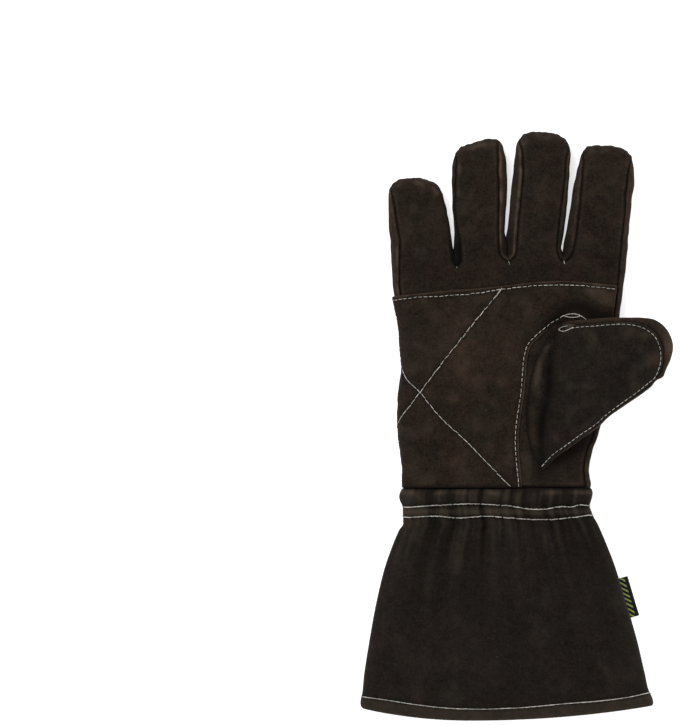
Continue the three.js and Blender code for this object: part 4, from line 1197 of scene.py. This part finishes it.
def sewn(name, lines, thread=THREAD):
    """Rows of stitches along lines in space, as one piece. A line's points hold their way out too."""
    wire = bpy.data.meshes.new(name + "_wire")
    points = np.vstack(lines)
    starts = np.cumsum([0, *[len(line) for line in lines]])
    wires = [(i, i + 1) for a, b in zip(starts[:-1], starts[1:]) for i in range(a, b - 1)]
    wire.from_pydata((points[:, :3] * MM).tolist(), wires, [])
    outwards = wire.attributes.new("outwards", "FLOAT_VECTOR", "POINT")
    outwards.data.foreach_set("vector", points[:, 3:].ravel().astype(np.float32))
    sewing = placed(name + "_wire", wire)
    modifier = sewing.modifiers.new("stitches", "NODES")
    modifier.node_group = STITCHES
    pitch, length, width, seed = STITCH_SIZES[name]
    wanted = {"Pitch": pitch * MM, "Stitch Length": length * MM, "Thread Width": width * MM}
    wanted.update({"Seed": seed, "Thread": thread})
    for item in STITCHES.interface.items_tree:
        if item.name in wanted:
            modifier[item.identifier] = wanted[item.name]
    ready = sewing.evaluated_get(bpy.context.evaluated_depsgraph_get())
    mesh = bpy.data.meshes.new_from_object(ready)
    mesh.name = name
    sewing.modifiers.remove(modifier)
    bpy.data.objects.remove(sewing)
    piece = placed(name, mesh)
    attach(piece, "root")
    return piece


def surface(sheets):
    """Finds places on finished sheets of leather, each given as its points and triangles."""
    points, faces = [], []
    for body, triangles in sheets:
        faces += (triangles + len(points)).tolist()
        points += [tuple(p) for p in body]
    return BVHTree.FromPolygons(points, faces)


def dropped(line, leather, from_below=False):
    """A line drawn in x and y, dropped on the leather from above or raised to it from below."""
    start, way = (-60, 1) if from_below else (90, -1)
    hits = [leather.ray_cast(Vector((x, y, start)), Vector((0, 0, way)))[0] for x, y in line]
    return [tuple(hit) for hit in hits if hit is not None]


def seam_line(points, leather, lift=0.12, spare=1.6):
    """A path close to the leather, brought on to it, with the way out of the leather at each point. Some
    of its length is spared at both ends for the halves of the first and last stitch."""
    points = np.array(points)
    at = way_along(points)
    line = []
    for spot in read_off(points, at, np.linspace(spare, at[-1] - spare, int(at[-1] / SEAM_STEP) + 2)):
        found, out = leather.find_nearest(Vector(spot))[:2]
        line.append((*(found + out * lift), *out))
    return np.array(line)


patch_leather = surface([palm_patch_top])
patch_rows = [seam_line(wrapped(line)[0], patch_leather) for line in palm_stitching[:2]]
for over_side, (first, last), under_side in (
    (CROSS_STITCH_DOWN, CROSS_TURN_DOWN, down_row), (CROSS_STITCH_UP[::-1], CROSS_TURN_UP, up_row)
):
    way = [(first + (last - first) * share, far_in, z) for far_in, z, share in SIDE_TURN]
    turn_points = [(patch_side_at(y) + far_in, y, z) for y, far_in, z in way]
    laid = [wrapped(spaced(line, 1.0))[0] for line in (over_side, under_side)]
    patch_rows.append(seam_line([*laid[0], *turn_points, *laid[1]], patch_leather))
sewn("palm_patch_stitching", patch_rows[:2])
sewn("cross_stitching", patch_rows[2:])
thumb_leather = surface([(thumb_body, front_faces)])
sewn("thumb_stitching", [seam_line(dropped(stitch_line, thumb_leather), thumb_leather)])

cuff_leather = surface(cuff_sheets)


def round_the_cuff(row):
    """A row of stitches all the way round: over the palm's side, down, back underneath and up."""
    over = dropped(spaced(row["over"], 1.0), cuff_leather)
    under = dropped(spaced(row["under"], 1.0), cuff_leather, True)
    loop = list(over)
    for way, share in ((-1, np.linspace(0.15, 0.85, 6)), (1, np.linspace(0.85, 0.15, 6))):
        first, last = (over[-1], under[0]) if way < 0 else (over[0], under[-1])
        for part in share:
            x, y, z = np.array(first) * (1 - part) + np.array(last) * part
            hit = cuff_leather.ray_cast(Vector((-way * CUFF_BESIDE, y, z)), Vector((way, 0, 0)))[0]
            loop.append(tuple(hit))
        loop += under if way < 0 else []
    return seam_line([*loop, over[0]], cuff_leather, lift=0.25, spare=0)


sewn("wrist_stitching", [round_the_cuff(row) for row in WRIST_ROWS])
sewn("hem_stitching", [round_the_cuff(HEM_ROW)])

back_leather = surface([(back_body, back_faces)])
finger_rows = [seam_line(dropped(line, back_leather, True), back_leather) for line in topstitching]
sewn("finger_back_stitching", finger_rows, MAUVE_THREAD)

palm_leather = surface([palm_patch_top, (palm_body, palm_faces), (base_body, base_faces)])
ends = []
for line in (*WEB_ENDS, *PATCH_ENDS, THUMB_LOOP):
    leather = thumb_leather if line is THUMB_LOOP else palm_leather
    ends.append(seam_line(dropped(spaced(line, 0.6), leather), leather, 0.3, 0))
sewn("thread_ends", ends)
